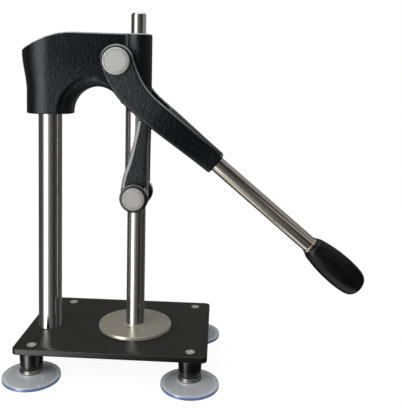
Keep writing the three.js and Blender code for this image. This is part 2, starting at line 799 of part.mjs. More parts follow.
function makeGrip() {
  const radius = handleDiameter / 2 + gripSwell;
  const start = handleDiameter / 2 + seatGap;
  const outside = gripShapeShares.map(([along, across]) => [radius * across, gripStart + gripLength * along]);
  const boreEnd = gripStart + handleInGrip + seatGap;
  return turnedAlong([[0, boreEnd], [start, boreEnd], [start, gripStart], ...outside], midSides);
}

// Links: a slim bar with an eye at the cross pin and a small one between the lever's cheeks
// Shares of the link's length, and of the lower eye's radius, along the bar's hollow edge and its straight one.
const linkHollowShares = [
  [0.89, 0.322], [0.78, 0.345], [0.645, 0.395], [0.5, 0.46], [0.375, 0.645], [0.285, 0.822],
  [0.195, 0.955], [0.095, 1],
];
const linkStraightShares = [[0.14, 0.72], [0.46, 0.545], [0.66, 0.445], [0.88, 0.36]];
const linkTopLeave = THREE.MathUtils.degToRad(35); // where the bar's edges leave the top end's circle

function linkOutline() {
  const eye = linkEyeDiameter / 2;
  const end = linkTopDiameter / 2;
  const edge = (shares, side) => shares.map(([along, out]) => new THREE.Vector2(side * eye * out, linkLength * along));
  const [lowest] = edge(linkStraightShares, 1);
  const eyeEnd = Math.asin(lowest.y / eye);
  const hollow = new THREE.SplineCurve(edge(linkHollowShares, -1));
  const shape = new THREE.Shape();
  shape.moveTo(lowest.x, lowest.y);
  for (const { x, y } of edge(linkStraightShares, 1).slice(1)) shape.lineTo(x, y);
  shape.absarc(0, linkLength, end, -linkTopLeave, Math.PI + linkTopLeave);
  for (const { x, y } of hollow.getPoints(14)) shape.lineTo(x, y);
  shape.absarc(0, 0, eye, Math.PI, 2 * Math.PI + eyeEnd);
  return shape;
}

function makeLink(side) {
  const bar2d = side < 0
    ? uprightPlate(linkOutline(), -linkOuter, -linkInner, linkEdgeRound)
    : uprightPlate(linkOutline(), linkInner, linkOuter, linkEdgeRound);
  const eye = linkEyeDiameter / 2;
  const boss = turnedAcross(
    [[0, linkInner + linkEdgeRound], [eye, linkInner + linkEdgeRound], [eye, eyeOuter - linkEdgeRound],
      [eye - linkEdgeRound, eyeOuter], [0, eyeOuter]],
    midSides,
  );
  if (side < 0) boss.rotateZ(Math.PI);
  const lowerBore = crossBar(pinBoreRadius, -eyeOuter - overrun, eyeOuter + overrun, smallSides);
  const upperBore = crossBar(pinBoreRadius, -linkOuter - overrun, linkOuter + overrun, smallSides)
    .translate(0, 0, linkLength);
  return cut(join(bar2d, boss), lowerBore, upperBore);
}

function makeLinkPin(side) {
  const [from, to] = [linkInner, cheekInner + linkStubDepth].map((y) => y * side).sort((a, b) => a - b);
  return crossBar(pinRadius, from, to, smallSides).translate(0, 0, linkLength);
}

// Press shaft
function makePressRod() {
  const radius = rodDiameter / 2;
  const tail = tailDiameter / 2;
  const foot = discTop - discSocketDepth + seatGap;
  const top = headTop + tailAboveHead;
  const tip = new THREE.QuadraticBezierCurve(
    new THREE.Vector2(tail, top - tailRound),
    new THREE.Vector2(tail, top),
    new THREE.Vector2(tail - tailRound, top),
  );
  const profile = [
    [0, foot], [radius, foot], [radius, slideTubeTop], [tail, slideTubeTop],
    ...tip.getPoints(3).map(({ x, y }) => [x, y]),
    [0, top],
  ];
  const threadHole = bar(
    discScrewDiameter / 2 + seatGap,
    foot - overrun,
    discAbovePlate + discScrewLength + seatGap,
    smallSides,
  );
  const pinHole = crossBar(pinBoreRadius, -rodDiameter, rodDiameter, smallSides)
    .translate(0, 0, crossPinHeight);
  return cut(turned(profile, roundSides), threadHole, pinHole);
}

function makeSlideTube() {
  const body = ring(tubeRadius, tubeBoreRadius, slideTubeBottom, slideTubeTop, roundSides);
  const pinHole = crossBar(pinBoreRadius, -slideTubeDiameter, slideTubeDiameter, smallSides)
    .translate(0, 0, crossPinHeight);
  return cut(body, pinHole);
}

function makePressDisc() {
  const radius = discDiameter / 2;
  const hub = discHubDiameter / 2;
  const hubTop = discTop + discHubHeight;
  const body = turned(
    [[0, discAbovePlate], [radius - discEdgeRound, discAbovePlate], [radius, discAbovePlate + discEdgeRound],
      [radius, discTop - discEdgeRound], [radius - discEdgeRound, discTop], [hub, discTop], [hub, hubTop],
      [0, hubTop]],
    roundSides,
  );
  const socket = bar(rodDiameter / 2 + seatGap, discTop - discSocketDepth, hubTop + overrun, roundSides);
  const screwSpace = countersink(
    discScrewDiameter,
    discScrewHeadDiameter,
    discScrewHeadDepth,
    discThickness + overrun,
  ).rotateX(Math.PI).translate(0, 0, discAbovePlate);
  return cut(body, socket, screwSpace);
}

function makeDiscScrew() {
  return countersunkScrew(discScrewDiameter, discScrewHeadDiameter, discScrewHeadDepth, discScrewLength)
    .rotateX(Math.PI)
    .translate(0, 0, discAbovePlate);
}

// Assembly
const press = new THREE.Group();
const frame = new THREE.Group();
const lever = new THREE.Group();
const links = new THREE.Group();
const shaft = new THREE.Group();
press.add(frame, lever, links, shaft);

frame.add(piece("base_plate", makeBasePlate(), plateBlack));
for (const { place, x, y } of feet) {
  const screw = countersunkScrew(
    footScrewDiameter,
    footScrewHeadDiameter,
    footScrewHeadDepth,
    footScrewLength,
  );
  frame.add(piece(`foot_screw_${place}`, screw.translate(x, y, 0), steel));
  frame.add(piece(`foot_stem_${place}`, makeStem().translate(x, y, 0), glossBlack));
  frame.add(piece(`foot_collar_${place}`, makeFootCollar().translate(x, y, 0), steel));
  frame.add(piece(`suction_cup_${place}`, makeCup().translate(x, y, 0), clearVinyl));
}
frame.add(piece("column", makeColumn(), steel));
frame.add(piece("column_plug", makeColumnPlug(), satinSteel));
frame.add(piece("column_washer", makeColumnWasher(), satinSteel));
frame.add(piece("column_bolt", makeColumnBolt(), satinSteel));
frame.add(piece("head", makeHead(), castBlack));
frame.add(piece("rod_bush", makeRodBush(), bronze));
frame.add(piece("head_set_screw", makeHeadSetScrew(), satinSteel));

const pivot = new THREE.Group();
pivot.position.set(pivotX, 0, pivotZ);
const pivotCapFace = cheekOuter + seatGap;
pivot.add(piece("lever_pin", cappedPin(pivotCapDiameter, pivotCapThickness, pivotCapFace), capMetal));
pivot.add(piece("lever_pin_cap", pinCap(pivotCapDiameter, pivotCapThickness, pivotCapFace), capMetal));
frame.add(pivot);

lever.position.set(pivotX, 0, pivotZ);
lever.rotation.y = restAngle;
lever.add(piece("lever_arm", makeLeverArm(), castBlack));
const handle = new THREE.Group();
handle.position.z = -handleAxisDrop;
handle.add(piece("handle_tube", makeHandleTube(), steel));
handle.add(piece("handle_ring", makeHandleRing(), steel));
handle.add(piece("grip", makeGrip(), glossBlack));
lever.add(handle, piece("handle_screw", makeHandleScrew(), satinSteel));

links.position.set(shaftSpacing, 0, crossPinHeight);
links.rotation.y = lowest.lean;
for (const [place, side] of [["front", -1], ["rear", 1]]) {
  links.add(piece(`link_${place}`, makeLink(side), castBlack));
  links.add(piece(`link_pin_${place}`, makeLinkPin(side), satinSteel));
}

shaft.position.x = shaftSpacing;
shaft.add(piece("press_rod", makePressRod(), steel));
shaft.add(piece("slide_tube", makeSlideTube(), steel));
shaft.add(piece("press_disc", makePressDisc(), satinSteel));
shaft.add(piece("disc_screw", makeDiscScrew(), satinSteel));
const crossPins = new THREE.Group();
crossPins.position.z = crossPinHeight;
const crossCapFace = eyeOuter + seatGap;
crossPins.add(piece("cross_pin", cappedPin(crossCapDiameter, crossCapThickness, crossCapFace), capMetal));
crossPins.add(piece("cross_pin_cap", pinCap(crossCapDiameter, crossCapThickness, crossCapFace), capMetal));
shaft.add(crossPins);

// The origin is under the middle of the whole press, on the table.
const extent = new THREE.Box3().setFromObject(press, true);
const middle = extent.getCenter(new THREE.Vector3());
press.position.set(-middle.x, -middle.y, -extent.min.z);

export default press;
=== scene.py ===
# %% [markdown]
# # A lever press for citrus juice
#
# The press stands on four suction feet. A steel column carries a cast head, the head holds a forked
# lever, and two links hang from the lever and push the press shaft down. The solids of all its pieces
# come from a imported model. This lesson models each visible piece finer in its place and gives it a
# finish. The model's bounds are kept, because the dressed press has to fill the same box.

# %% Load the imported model
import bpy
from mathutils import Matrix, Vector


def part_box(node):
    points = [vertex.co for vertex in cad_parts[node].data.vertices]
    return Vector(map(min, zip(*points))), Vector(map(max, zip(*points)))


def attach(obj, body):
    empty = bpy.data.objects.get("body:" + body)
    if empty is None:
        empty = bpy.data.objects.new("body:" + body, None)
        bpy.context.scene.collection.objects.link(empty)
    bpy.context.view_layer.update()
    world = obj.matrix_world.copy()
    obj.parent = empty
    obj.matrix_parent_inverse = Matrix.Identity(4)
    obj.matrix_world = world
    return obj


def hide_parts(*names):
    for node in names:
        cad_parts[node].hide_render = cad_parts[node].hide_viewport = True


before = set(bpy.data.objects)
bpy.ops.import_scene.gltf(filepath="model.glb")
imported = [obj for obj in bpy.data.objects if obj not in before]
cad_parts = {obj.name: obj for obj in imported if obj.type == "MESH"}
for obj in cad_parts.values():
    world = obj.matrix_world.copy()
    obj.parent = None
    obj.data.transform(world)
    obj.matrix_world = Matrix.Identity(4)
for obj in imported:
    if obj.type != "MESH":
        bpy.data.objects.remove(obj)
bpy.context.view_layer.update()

# %% [markdown]
# ## Where things are
#
# The drawing of the press counts from the column: X runs from the column to the shaft, Y to the back and
# Z up from the plate's top face, in millimetres. One function turns that into Blender's metres, and the
# boxes of the solids give the places it needs.

# %% Places taken from the solids
import math

import bmesh
import bpy
from mathutils import Euler, Matrix, Vector

MM = 0.001
plate_low, plate_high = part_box("base_plate")
column_low, column_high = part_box("column")
head_low, head_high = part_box("head")
rod_low, rod_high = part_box("press_rod")
pivot_middle = sum(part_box("lever_pin"), Vector()) / 2
cross_middle = sum(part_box("cross_pin"), Vector()) / 2
column_x, column_y = (column_low.x + column_high.x) / 2, (column_low.y + column_high.y) / 2
column_foot = Vector((column_x, column_y, plate_high.z))


def spot(x, y, z):
    """A place in Blender from millimetres counted from the column's axis and the plate's top."""
    return column_foot + Vector((x, y, z)) * MM


shaft_x = ((rod_low.x + rod_high.x) / 2 - column_foot.x) / MM
collar_bottom = (head_low.z - plate_high.z) / MM
head_top = (head_high.z - plate_high.z) / MM
pivot_x, pivot_z = (pivot_middle.x - column_foot.x) / MM, (pivot_middle.z - plate_high.z) / MM
cross_z = (cross_middle.z - plate_high.z) / MM
rest_angle = math.radians(40)  # the handle's slope below the level
print(f"shaft {shaft_x:.1f}, head top {head_top:.1f}, lever pivot {pivot_x:.2f}, {pivot_z:.2f}")

# %% [markdown]
# ## Camera
#
# A shift lens keeps the column upright, as a product photographer would. Its place, turn and length were
# solved from the picture, so that the plate's corners, the column, the shaft's tip and the handle's end
# all fall where they do there.

# %% Camera
photo_width = 402
focal_pixels = 585.33
sensor = 36
yaw, pitch, roll = 3.48, 85.5, 1.03
camera_data = bpy.data.cameras.new("camera")
camera = bpy.data.objects.new("camera", camera_data)
bpy.context.collection.objects.link(camera)
bpy.context.scene.camera = camera
bpy.context.scene.view_settings.view_transform = "Standard"
camera_data.sensor_fit = "HORIZONTAL"
camera_data.sensor_width = sensor
camera_data.lens = focal_pixels / photo_width * sensor
camera_data.shift_x = 0.0425
camera_data.shift_y = -0.187
camera_turn = (
    Matrix.Rotation(math.radians(yaw), 4, "Z")
    @ Matrix.Rotation(math.radians(pitch), 4, "X")
    @ Matrix.Rotation(math.radians(roll), 4, "Z")
)
camera.matrix_world = Matrix.Translation(spot(184.65, -628.83, 273.72)) @ camera_turn
print(f"lens {camera_data.lens:.2f} mm")

# %% [markdown]
# ## Studio
#
# Polished metal shows the room. The tubes of this press show one tall white softbox on the left, a dark
# room and a few grey cards, as stripes along their length. Cards stand round the press for that, and
# only reflections see them. Plain light comes from the world and one large lamp, and the camera sees a
# white floor and a white world. The first tools build materials node by node.


# %% Tools for materials
def blank_material(name):
    """A material with nodes, and its tree without any."""
    material = bpy.data.materials.new(name)
    material.use_nodes = True
    material.node_tree.nodes.clear()
    return material, material.node_tree


def add_node(tree, kind, inputs=None, **settings):
    """A node with its settings; an input is a value or another node's output socket."""
    node = tree.nodes.new(kind)
    for setting, value in settings.items():
        setattr(node, setting, value)
    for socket, value in (inputs or {}).items():
        if isinstance(value, bpy.types.NodeSocket):
            tree.links.new(value, node.inputs[socket])
        else:
            node.inputs[socket].default_value = value
    return node


def calculated(tree, operation, first, second):
    return add_node(tree, "ShaderNodeMath", {0: first, 1: second}, operation=operation).outputs[0]


def ranged(tree, value, low, high, from_low=0.3, from_high=0.7):
    """The value's range, stretched to another one."""
    return add_node(
        tree,
        "ShaderNodeMapRange",
        {"Value": value, "From Min": from_low, "From Max": from_high, "To Min": low, "To Max": high},
    ).outputs["Result"]


def tone_ramp(tree, factor, stops):
    """A ramp from stops of place and tone; a tone is one grey value or three colour values."""
    node = add_node(tree, "ShaderNodeValToRGB", {"Fac": factor})
    elements = node.color_ramp.elements
    while len(elements) < len(stops):
        elements.new(0.5)
    for element, (place, tone) in zip(elements, stops):
        element.position = place
        colour = (tone, tone, tone) if isinstance(tone, (int, float)) else tone
        element.color = (*colour, 1)
    return node.outputs["Color"]


def blended(tree, factor, first, second):
    """The first colour at zero, the second one at one."""
    inputs = {"Factor": factor, "A": first, "B": second}
    return add_node(tree, "ShaderNodeMix", inputs, data_type="RGBA").outputs["Result"]


def even_glow(tree, strength, colour=(1, 1, 1, 1)):
    return add_node(tree, "ShaderNodeEmission", {"Color": colour, "Strength": strength}).outputs[0]


print("material tools ready")

# %% [markdown]
# The next tools model in edit mode, as by hand: a primitive is added, parts of it are picked by their
# place, and an operator acts on them.


# %% Tools for modelling
def object_mode():
    if bpy.context.mode != "OBJECT":
        bpy.ops.object.mode_set(mode="OBJECT")
    bpy.ops.object.select_all(action="DESELECT")


def select_only(piece):
    object_mode()
    piece.select_set(True)
    bpy.context.view_layer.objects.active = piece


def begin(name, add, **settings):
    """Adds a primitive with nothing else selected, names it and opens it in edit mode."""
    object_mode()
    add(**settings)
    piece = bpy.context.object
    piece.name = name
    bpy.ops.object.mode_set(mode="EDIT")
    bpy.ops.mesh.select_mode(type="VERT")
    return piece


def end():
    """Merges doubled points, turns the faces outwards and leaves edit mode."""
    bpy.ops.mesh.select_all(action="SELECT")
    bpy.ops.mesh.remove_doubles(threshold=1e-6)
    bpy.ops.mesh.normals_make_consistent(inside=False)
    bpy.ops.object.mode_set(mode="OBJECT")


def pick(piece, kind, test):
    """Selects the piece's vertices, edges or faces that pass the test, in edit mode."""
    bpy.ops.mesh.select_mode(type=kind)
    bpy.ops.mesh.select_all(action="DESELECT")
    shape = bmesh.from_edit_mesh(piece.data)
    elements = {"VERT": shape.verts, "EDGE": shape.edges, "FACE": shape.faces}[kind]
    for element in filter(test, elements):
        element.select = True
    shape.select_flush_mode()
    bmesh.update_edit_mesh(piece.data)


def middle_of(element):
    return sum((vert.co for vert in element.verts), Vector()) / len(element.verts)


def stands(edge):
    return abs(edge.verts[0].co.z - edge.verts[1].co.z) > MM


def extrude(shift):
    bpy.ops.mesh.extrude_region_move(TRANSFORM_OT_translate={"value": shift})


def start_line(name, place):
    """A single vertex at the place, ready to be extruded: a small plane merged into its centre."""
    piece = begin(name, bpy.ops.mesh.primitive_plane_add, size=MM, location=(0, 0, 0))
    bpy.ops.mesh.merge(type="CENTER")
    bpy.ops.transform.translate(value=place)
    return piece


def spin_round(steps):
    """Spins all that is drawn once round the upright axis."""
    bpy.ops.mesh.select_all(action="SELECT")
    bpy.ops.mesh.spin(steps=steps, angle=math.tau, center=(0, 0, 0), axis=(0, 0, 1))
    end()


print("modelling tools ready")

# %% [markdown]
# ### Floor and world
#
# The floor is a plane, extruded at the back. Its material mixes white paint, which takes the shadow,
# with white that only the camera, reflections and glass see, and the world does the same with a soft
# fill. The tubes shall show the cards and no floor, so reflections skip it.

# %% Floor
floor_size, floor_behind = 8, 6
floor = begin("floor", bpy.ops.mesh.primitive_plane_add, size=floor_size, location=(0, 0, 0))
pick(floor, "EDGE", lambda edge: middle_of(edge).y > 0.49 * floor_size)
extrude((0, floor_behind, 0))
end()
floor.visible_glossy = False


def seen_directly(tree):
    """One for rays from the camera, reflections and glass, zero for those that only carry light."""
    rays = add_node(tree, "ShaderNodeLightPath").outputs
    first = calculated(tree, "MAXIMUM", rays["Is Camera Ray"], rays["Is Glossy Ray"])
    return calculated(tree, "MAXIMUM", first, rays["Is Transmission Ray"])


def mixed(tree, factor, first, second):
    """The first shader at zero, the second one at one."""
    return add_node(tree, "ShaderNodeMixShader", {"Fac": factor, 1: first, 2: second}).outputs[0]


floor_material, tree = blank_material("studio_floor")
paint = add_node(tree, "ShaderNodeBsdfDiffuse", {"Color": (0.96, 0.96, 0.96, 1)}).outputs[0]
white_share = calculated(tree, "MULTIPLY", seen_directly(tree), 0.85)
surface = mixed(tree, white_share, paint, even_glow(tree, 1.1))
add_node(tree, "ShaderNodeOutputMaterial", {"Surface": surface})
floor.data.materials.append(floor_material)
print("floor", tuple(round(side, 1) for side in floor.dimensions))

# %% World
fill_strength = 0.5
world = bpy.data.worlds.new("studio_world")
bpy.context.scene.world = world
world.use_nodes = True
tree = world.node_tree
tree.nodes.clear()
fill, white = (
    add_node(tree, "ShaderNodeBackground", {"Color": (1, 1, 1, 1), "Strength": strength}).outputs[0]
    for strength in (fill_strength, 1.0)
)
add_node(tree, "ShaderNodeOutputWorld", {"Surface": mixed(tree, seen_directly(tree), fill, white)})
print("world fill", fill_strength, "and seen as white")

# %% [markdown]
# ### Lamp
#
# One large lamp on the left of the camera lights the colours. Reflections show the card wall instead.

# %% Lamp
lamp_data = bpy.data.lights.new("softbox", "AREA")
lamp_data.shape = "SQUARE"
lamp_data.size = 1.2
lamp_data.energy = 14
lamp = bpy.data.objects.new("softbox", lamp_data)
bpy.context.collection.objects.link(lamp)
lamp.location = (-1.1, -1.3, 1.3)
lamp.rotation_euler = (-lamp.location).to_track_quat("-Z", "Y").to_euler()
lamp.visible_glossy = lamp.visible_camera = False
print("lamp", lamp_data.energy, "W")

# %% [markdown]
# ### Card wall
#
# A round wall stands about the press: a line from the axis outwards and then up, spun, so that it is
# closed below and open above. Its tone changes with the direction, as read off the column from edge to
# edge, in a ramp once round. The wall's lower end fades out, an upper card shows in the shaft's tail,
# and a low one at the side shows in the handle.

# %% Card wall
wall_radius, wall_height = 0.6, 2.4
wall = start_line("card_wall", (0, 0, -wall_height / 2))
extrude((wall_radius, 0, 0))
extrude((0, 0, wall_height))
spin_round(96)


def for_reflections(card, material, tree, glow):
    """Hides the card from all but reflections, and gives it the glow."""
    for kind in ("camera", "diffuse", "transmission", "volume_scatter", "shadow"):
        setattr(card, f"visible_{kind}", False)
    add_node(tree, "ShaderNodeOutputMaterial", {"Surface": glow})
    material.cycles.emission_sampling = "NONE"
    card.data.materials.append(material)


# Directions in degrees, counted from +X towards +Y, and the tones that the column shows there.
card_tones = [
    (-180, 0.08), (-168, 0.1), (-160, 0.15), (-157, 0.3), (-152, 0.6), (-149, 1.0), (-144, 1.6), (-140, 3.0),
    (-135, 5.0), (-126, 5.0), (-122, 3.0), (-117, 1.5), (-112, 0.9), (-109, 0.62), (-99, 0.35), (-89, 0.16),
    (-80, 0.12), (-70, 0.14), (-60, 0.05), (-42, 0.03), (-30, 0.07), (-16, 0.14), (-2, 0.03), (13, 0.04),
    (30, 0.1), (50, 0.12), (112, 0.12), (128, 0.1), (180, 0.08),
]
upper_tones = [(-22, 0), (-10, 0.36), (60, 0.36), (75, 0.05)]
side_tones = [(-60, 0), (-50, 0.45), (-26, 0.45), (-16, 0)]
brightest = 5.0
wall_material, tree = blank_material("studio_cards")
place = add_node(tree, "ShaderNodeTexCoord").outputs["Object"]
axes = add_node(tree, "ShaderNodeSeparateXYZ", {"Vector": place}).outputs
direction = calculated(tree, "ARCTAN2", axes["Y"], axes["X"])
round_share = ranged(tree, direction, 0, 1, -math.pi, math.pi)


def round_ramp(tones):
    """A ramp once round the press from angles in degrees and tones."""
    return tone_ramp(tree, round_share, [((angle + 180) / 360, tone / brightest) for angle, tone in tones])


cards = round_ramp(card_tones)
upper = ranged(tree, axes["Z"], 0, 1, 0.32, 0.42)
upper_card = calculated(tree, "MULTIPLY", upper, round_ramp(upper_tones))
side_height = tone_ramp(tree, axes["Z"], [(0.27, 0), (0.3, 1), (0.4, 1), (0.44, 0)])
side_card = calculated(tree, "MULTIPLY", side_height, round_ramp(side_tones))
faded = calculated(tree, "MULTIPLY", cards, ranged(tree, axes["Z"], 0.1, 1, -0.36, -0.28))
tone = calculated(tree, "MAXIMUM", calculated(tree, "MAXIMUM", faded, upper_card), side_card)
for_reflections(wall, wall_material, tree, even_glow(tree, brightest, tone))
print("card wall with", len(card_tones), "tones")

# %% [markdown]
# ### Ceiling card and low card
#
# Two flat cards close the room for reflections. The one above lights the tops of the castings a little,
# and the one below shows in the slanting handle as its light band.


# %% Ceiling card and low card
def flat_card(name, size, place, stretch, strength):
    """A level card: a plane, divided once and stretched along X, with an even glow."""
    card = begin(name, bpy.ops.mesh.primitive_plane_add, size=size, location=place)
    bpy.ops.mesh.select_all(action="SELECT")
    bpy.ops.mesh.subdivide(number_cuts=1)
    bpy.ops.transform.resize(value=(stretch, 1, 1), center_override=(0, 0, 0))
    end()
    material, tree = blank_material(f"studio_{name}")
    for_reflections(card, material, tree, even_glow(tree, strength))
    print(name, tuple(round(side, 2) for side in card.dimensions))


flat_card("ceiling_card", 1.3, (0, 0, 1.15), 1, 1.6)
flat_card("low_card", 0.44, (0, -0.11, -0.36), 2, 0.8)

# %% [markdown]
# ## Finishes
#
# Each finish is a Principled shader with patterns on Object coordinates, so that they stay with the metal
# when the press moves. Some finishes need only one soft noise that shifts colour and roughness a little,
# and perhaps a fine relief: one function makes all of these.


# %% Tools for finishes
def new_finish(name, **values):
    """A material with a Principled shader that has these values, its tree and the shader."""
    material, tree = blank_material(name)
    inputs = {key.replace("_", " "): value for key, value in values.items()}
    shader = add_node(tree, "ShaderNodeBsdfPrincipled", inputs)
    add_node(tree, "ShaderNodeOutputMaterial", {"Surface": shader.outputs[0]})
    return material, tree, shader


def pattern_place(tree, stretch=(1, 1, 1), turn=(0, 0, 0), centre=(0, 0, 0)):
    """Object coordinates, moved to a centre, turned and stretched."""
    place = add_node(tree, "ShaderNodeTexCoord").outputs["Object"]
    moved = add_node(tree, "ShaderNodeVectorMath", {0: place, 1: centre}, operation="SUBTRACT").outputs[0]
    endless = 1e6  # for a direction in which the pattern doesn't change
    scale = [1 / part if part else endless for part in stretch]
    inputs = {"Vector": moved, "Rotation": turn, "Scale": scale}
    return add_node(tree, "ShaderNodeMapping", inputs, vector_type="TEXTURE").outputs[0]


def grain(tree, place, scale, detail=2.0):
    inputs = {"Vector": place, "Scale": scale, "Detail": detail}
    return add_node(tree, "ShaderNodeTexNoise", inputs).outputs["Fac"]


def two_tones(tree, noise, first, second):
    """A colour that swings between two as the noise does."""
    return tone_ramp(tree, noise, [(0.3, first), (0.7, second)])


def painted(tree, shader, colour, roughness):
    tree.links.new(colour, shader.inputs["Base Color"])
    tree.links.new(roughness, shader.inputs["Roughness"])


def bumped(tree, shader, height, strength, distance):
    bump = add_node(tree, "ShaderNodeBump", {"Strength": strength, "Distance": distance, "Height": height})
    tree.links.new(bump.outputs["Normal"], shader.inputs["Normal"])


def facing_up(tree, low, high):
    """Zero on upright faces and one on level ones, from the height of the face's normal."""
    normal = add_node(tree, "ShaderNodeTexCoord").outputs["Normal"]
    rise = add_node(tree, "ShaderNodeSeparateXYZ", {"Vector": normal}).outputs["Z"]
    return ranged(tree, rise, 0.0, 1.0, low, high)


def clouded(name, scale, tones, roughness, relief=None, **values):
    """A finish with one noise in colour and roughness, and a relief of scale, strength and depth."""
    material, tree, shader = new_finish(name, **values)
    place = pattern_place(tree)
    cloud = grain(tree, place, scale)
    painted(tree, shader, two_tones(tree, cloud, *tones), ranged(tree, cloud, *roughness))
    if relief:
        relief_scale, strength, depth = relief
        bumped(tree, shader, grain(tree, place, relief_scale), strength, depth)
    return material


print("finish tools ready")

# %% [markdown]
# ### Black powder coat
#
# Powder coat is a satin black skin with a fine orange peel, which breaks the softbox's reflection into
# bluish grey specks. Two noises make it, a coarse one for the peel and a fine one for the specks. Sharp
# edges that face up get a painted highlight, a light grey colour: Pointiness finds the edges, and the
# normal those that face up.

# %% Black powder coat
cast_black, tree, shader = new_finish(
    "powder_coat_black", Specular_IOR_Level=0.42, Specular_Tint=(0.92, 0.98, 1.0, 1)
)
place = pattern_place(tree)
peel = grain(tree, place, 450)
specks = grain(tree, place, 1100, 1.0)
coat = tone_ramp(tree, peel, [(0.35, (0.0012, 0.0014, 0.0018)), (0.7, (0.0035, 0.004, 0.0048))])
# Painted highlight: sharp edges that face up get a light grey colour, as if lit from above.
sharpness = add_node(tree, "ShaderNodeNewGeometry").outputs["Pointiness"]
sharp_edge = ranged(tree, sharpness, 0.0, 1.0, 0.512, 0.54)
painted_highlight_mask = calculated(tree, "MULTIPLY", sharp_edge, facing_up(tree, 0.1, 0.35))
painted_highlight_colour = (0.6, 0.605, 0.61, 1)
painted(tree, shader, blended(tree, painted_highlight_mask, coat, painted_highlight_colour), ranged(tree, peel, 0.17, 0.25))
bumped(tree, shader, calculated(tree, "ADD", peel, specks), 1.0, 0.00037)
print("powder coat ready")

# %% [markdown]
# The links' wide chamfer has a nearly smooth finish, so it shines more than the coat beside it, and a
# lighter colour, which is a painted highlight.

# %% Chamfer finish with a painted highlight
chamfer_highlight_black, tree, shader = new_finish("chamfer_black_painted_highlight", Specular_IOR_Level=1.0)
place = pattern_place(tree)
# Painted highlight: a colour much lighter than the coat's.
chamfer_highlight_tones = two_tones(tree, grain(tree, place, 700), (0.02, 0.02, 0.021), (0.04, 0.041, 0.043))
painted(tree, shader, chamfer_highlight_tones, ranged(tree, grain(tree, place, 300), 0.14, 0.22))
print("rubbed edge ready")

# %% [markdown]
# ### Black enamel of the plate
#
# The plate's enamel is smoother than the castings' coat, a little warm and faintly clouded. The upright
# faces get a much darker colour, a painted shade for the dark room that they reflect.

# %% Plate enamel
plate_black, tree, shader = new_finish("enamel_black_plate", Specular_IOR_Level=0.5)
place = pattern_place(tree)
cloud = grain(tree, place, 35)
top_colour = two_tones(tree, cloud, (0.017, 0.0175, 0.014), (0.021, 0.0215, 0.017))
# Painted shade: the upright faces get a near black colour.
rim_painted_shade = (0.002, 0.002, 0.002, 1)
enamel_with_painted_shade = blended(tree, facing_up(tree, 0.2, 0.8), rim_painted_shade, top_colour)
painted(tree, shader, enamel_with_painted_shade, ranged(tree, cloud, 0.28, 0.36))
bumped(tree, shader, grain(tree, place, 500), 0.04, 0.0001)
print("enamel ready")

# %% [markdown]
# ### Moulded black and clear vinyl
#
# The foot stems are glossy mouldings and the grip is a duller one. The cups are of milky clear vinyl,
# grey above and blue in the thick lower rim.

# %% Moulded black
gloss_black = clouded(
    "moulded_black", 60, (0.003, 0.006), (0.14, 0.24), (400, 0.03, 0.0001),
    Specular_IOR_Level=0.5, Coat_Weight=0.3, Coat_Roughness=0.08,
)
grip_black = clouded(
    "grip_black", 60, (0.0025, 0.005), (0.26, 0.36), (900, 0.15, 0.0001), Specular_IOR_Level=0.3
)
print("moulded blacks ready")

# %% Clear vinyl
vinyl_height = 0.008
clear_vinyl, tree, shader = new_finish(
    "vinyl_clear", IOR=1.5, Transmission_Weight=0.2, Coat_Weight=1.0, Coat_Roughness=0.05
)
place = pattern_place(tree)
rise = add_node(tree, "ShaderNodeSeparateXYZ", {"Vector": place}).outputs["Z"]
blue_to_grey = [
    (0.0, (0.03, 0.09, 0.36)), (0.28, (0.12, 0.24, 0.6)),
    (0.5, (0.66, 0.68, 0.71)), (1.0, (0.72, 0.72, 0.71)),
]
tint = tone_ramp(tree, ranged(tree, rise, 0, 1, 0, vinyl_height), blue_to_grey)
painted(tree, shader, tint, ranged(tree, grain(tree, place, 90), 0.1, 0.2))
print("vinyl ready")

# %% [markdown]
# ### Metals
#
# Drawn tube keeps fine lines along its length, so its noise is stretched along the tube. On the disc and
# the caps they run round, so the noise reads only the distance from the axis. Disc and caps are dull, so
# they count as metal in part and take the rest from the lamp.


# %% Metals
fine_lines = 1800


def drawn_steel(name, turn, base, low, high):
    """Polished tube with faint lines along it."""
    material, tree, shader = new_finish(name, Metallic=1.0, Specular_IOR_Level=0.5)
    lines = grain(tree, pattern_place(tree, (1, 1, 0.004), turn), fine_lines)
    tones = two_tones(tree, lines, [0.92 * part for part in base], base)
    painted(tree, shader, tones, ranged(tree, lines, low, high))
    bumped(tree, shader, lines, 0.01, 0.00002)
    return material


def turned_steel(name, centre, base, low, high, metallic, along_y=False):
    """Metal with fine lines round an axis through the centre."""
    material, tree, shader = new_finish(name, Metallic=metallic, Specular_IOR_Level=0.5)
    flat = (1, 0, 1) if along_y else (1, 1, 0)
    place = pattern_place(tree, flat, centre=centre)
    distance = add_node(tree, "ShaderNodeVectorMath", {0: place}, operation="LENGTH").outputs["Value"]
    inputs = {"W": distance, "Scale": fine_lines, "Detail": 2.0}
    lines = add_node(tree, "ShaderNodeTexNoise", inputs, noise_dimensions="1D").outputs["Fac"]
    cloud = grain(tree, pattern_place(tree), 120)
    tones = two_tones(tree, lines, [0.9 * part for part in base], base)
    painted(tree, shader, tones, ranged(tree, cloud, low, high))
    bumped(tree, shader, lines, 0.05, 0.00002)
    return material


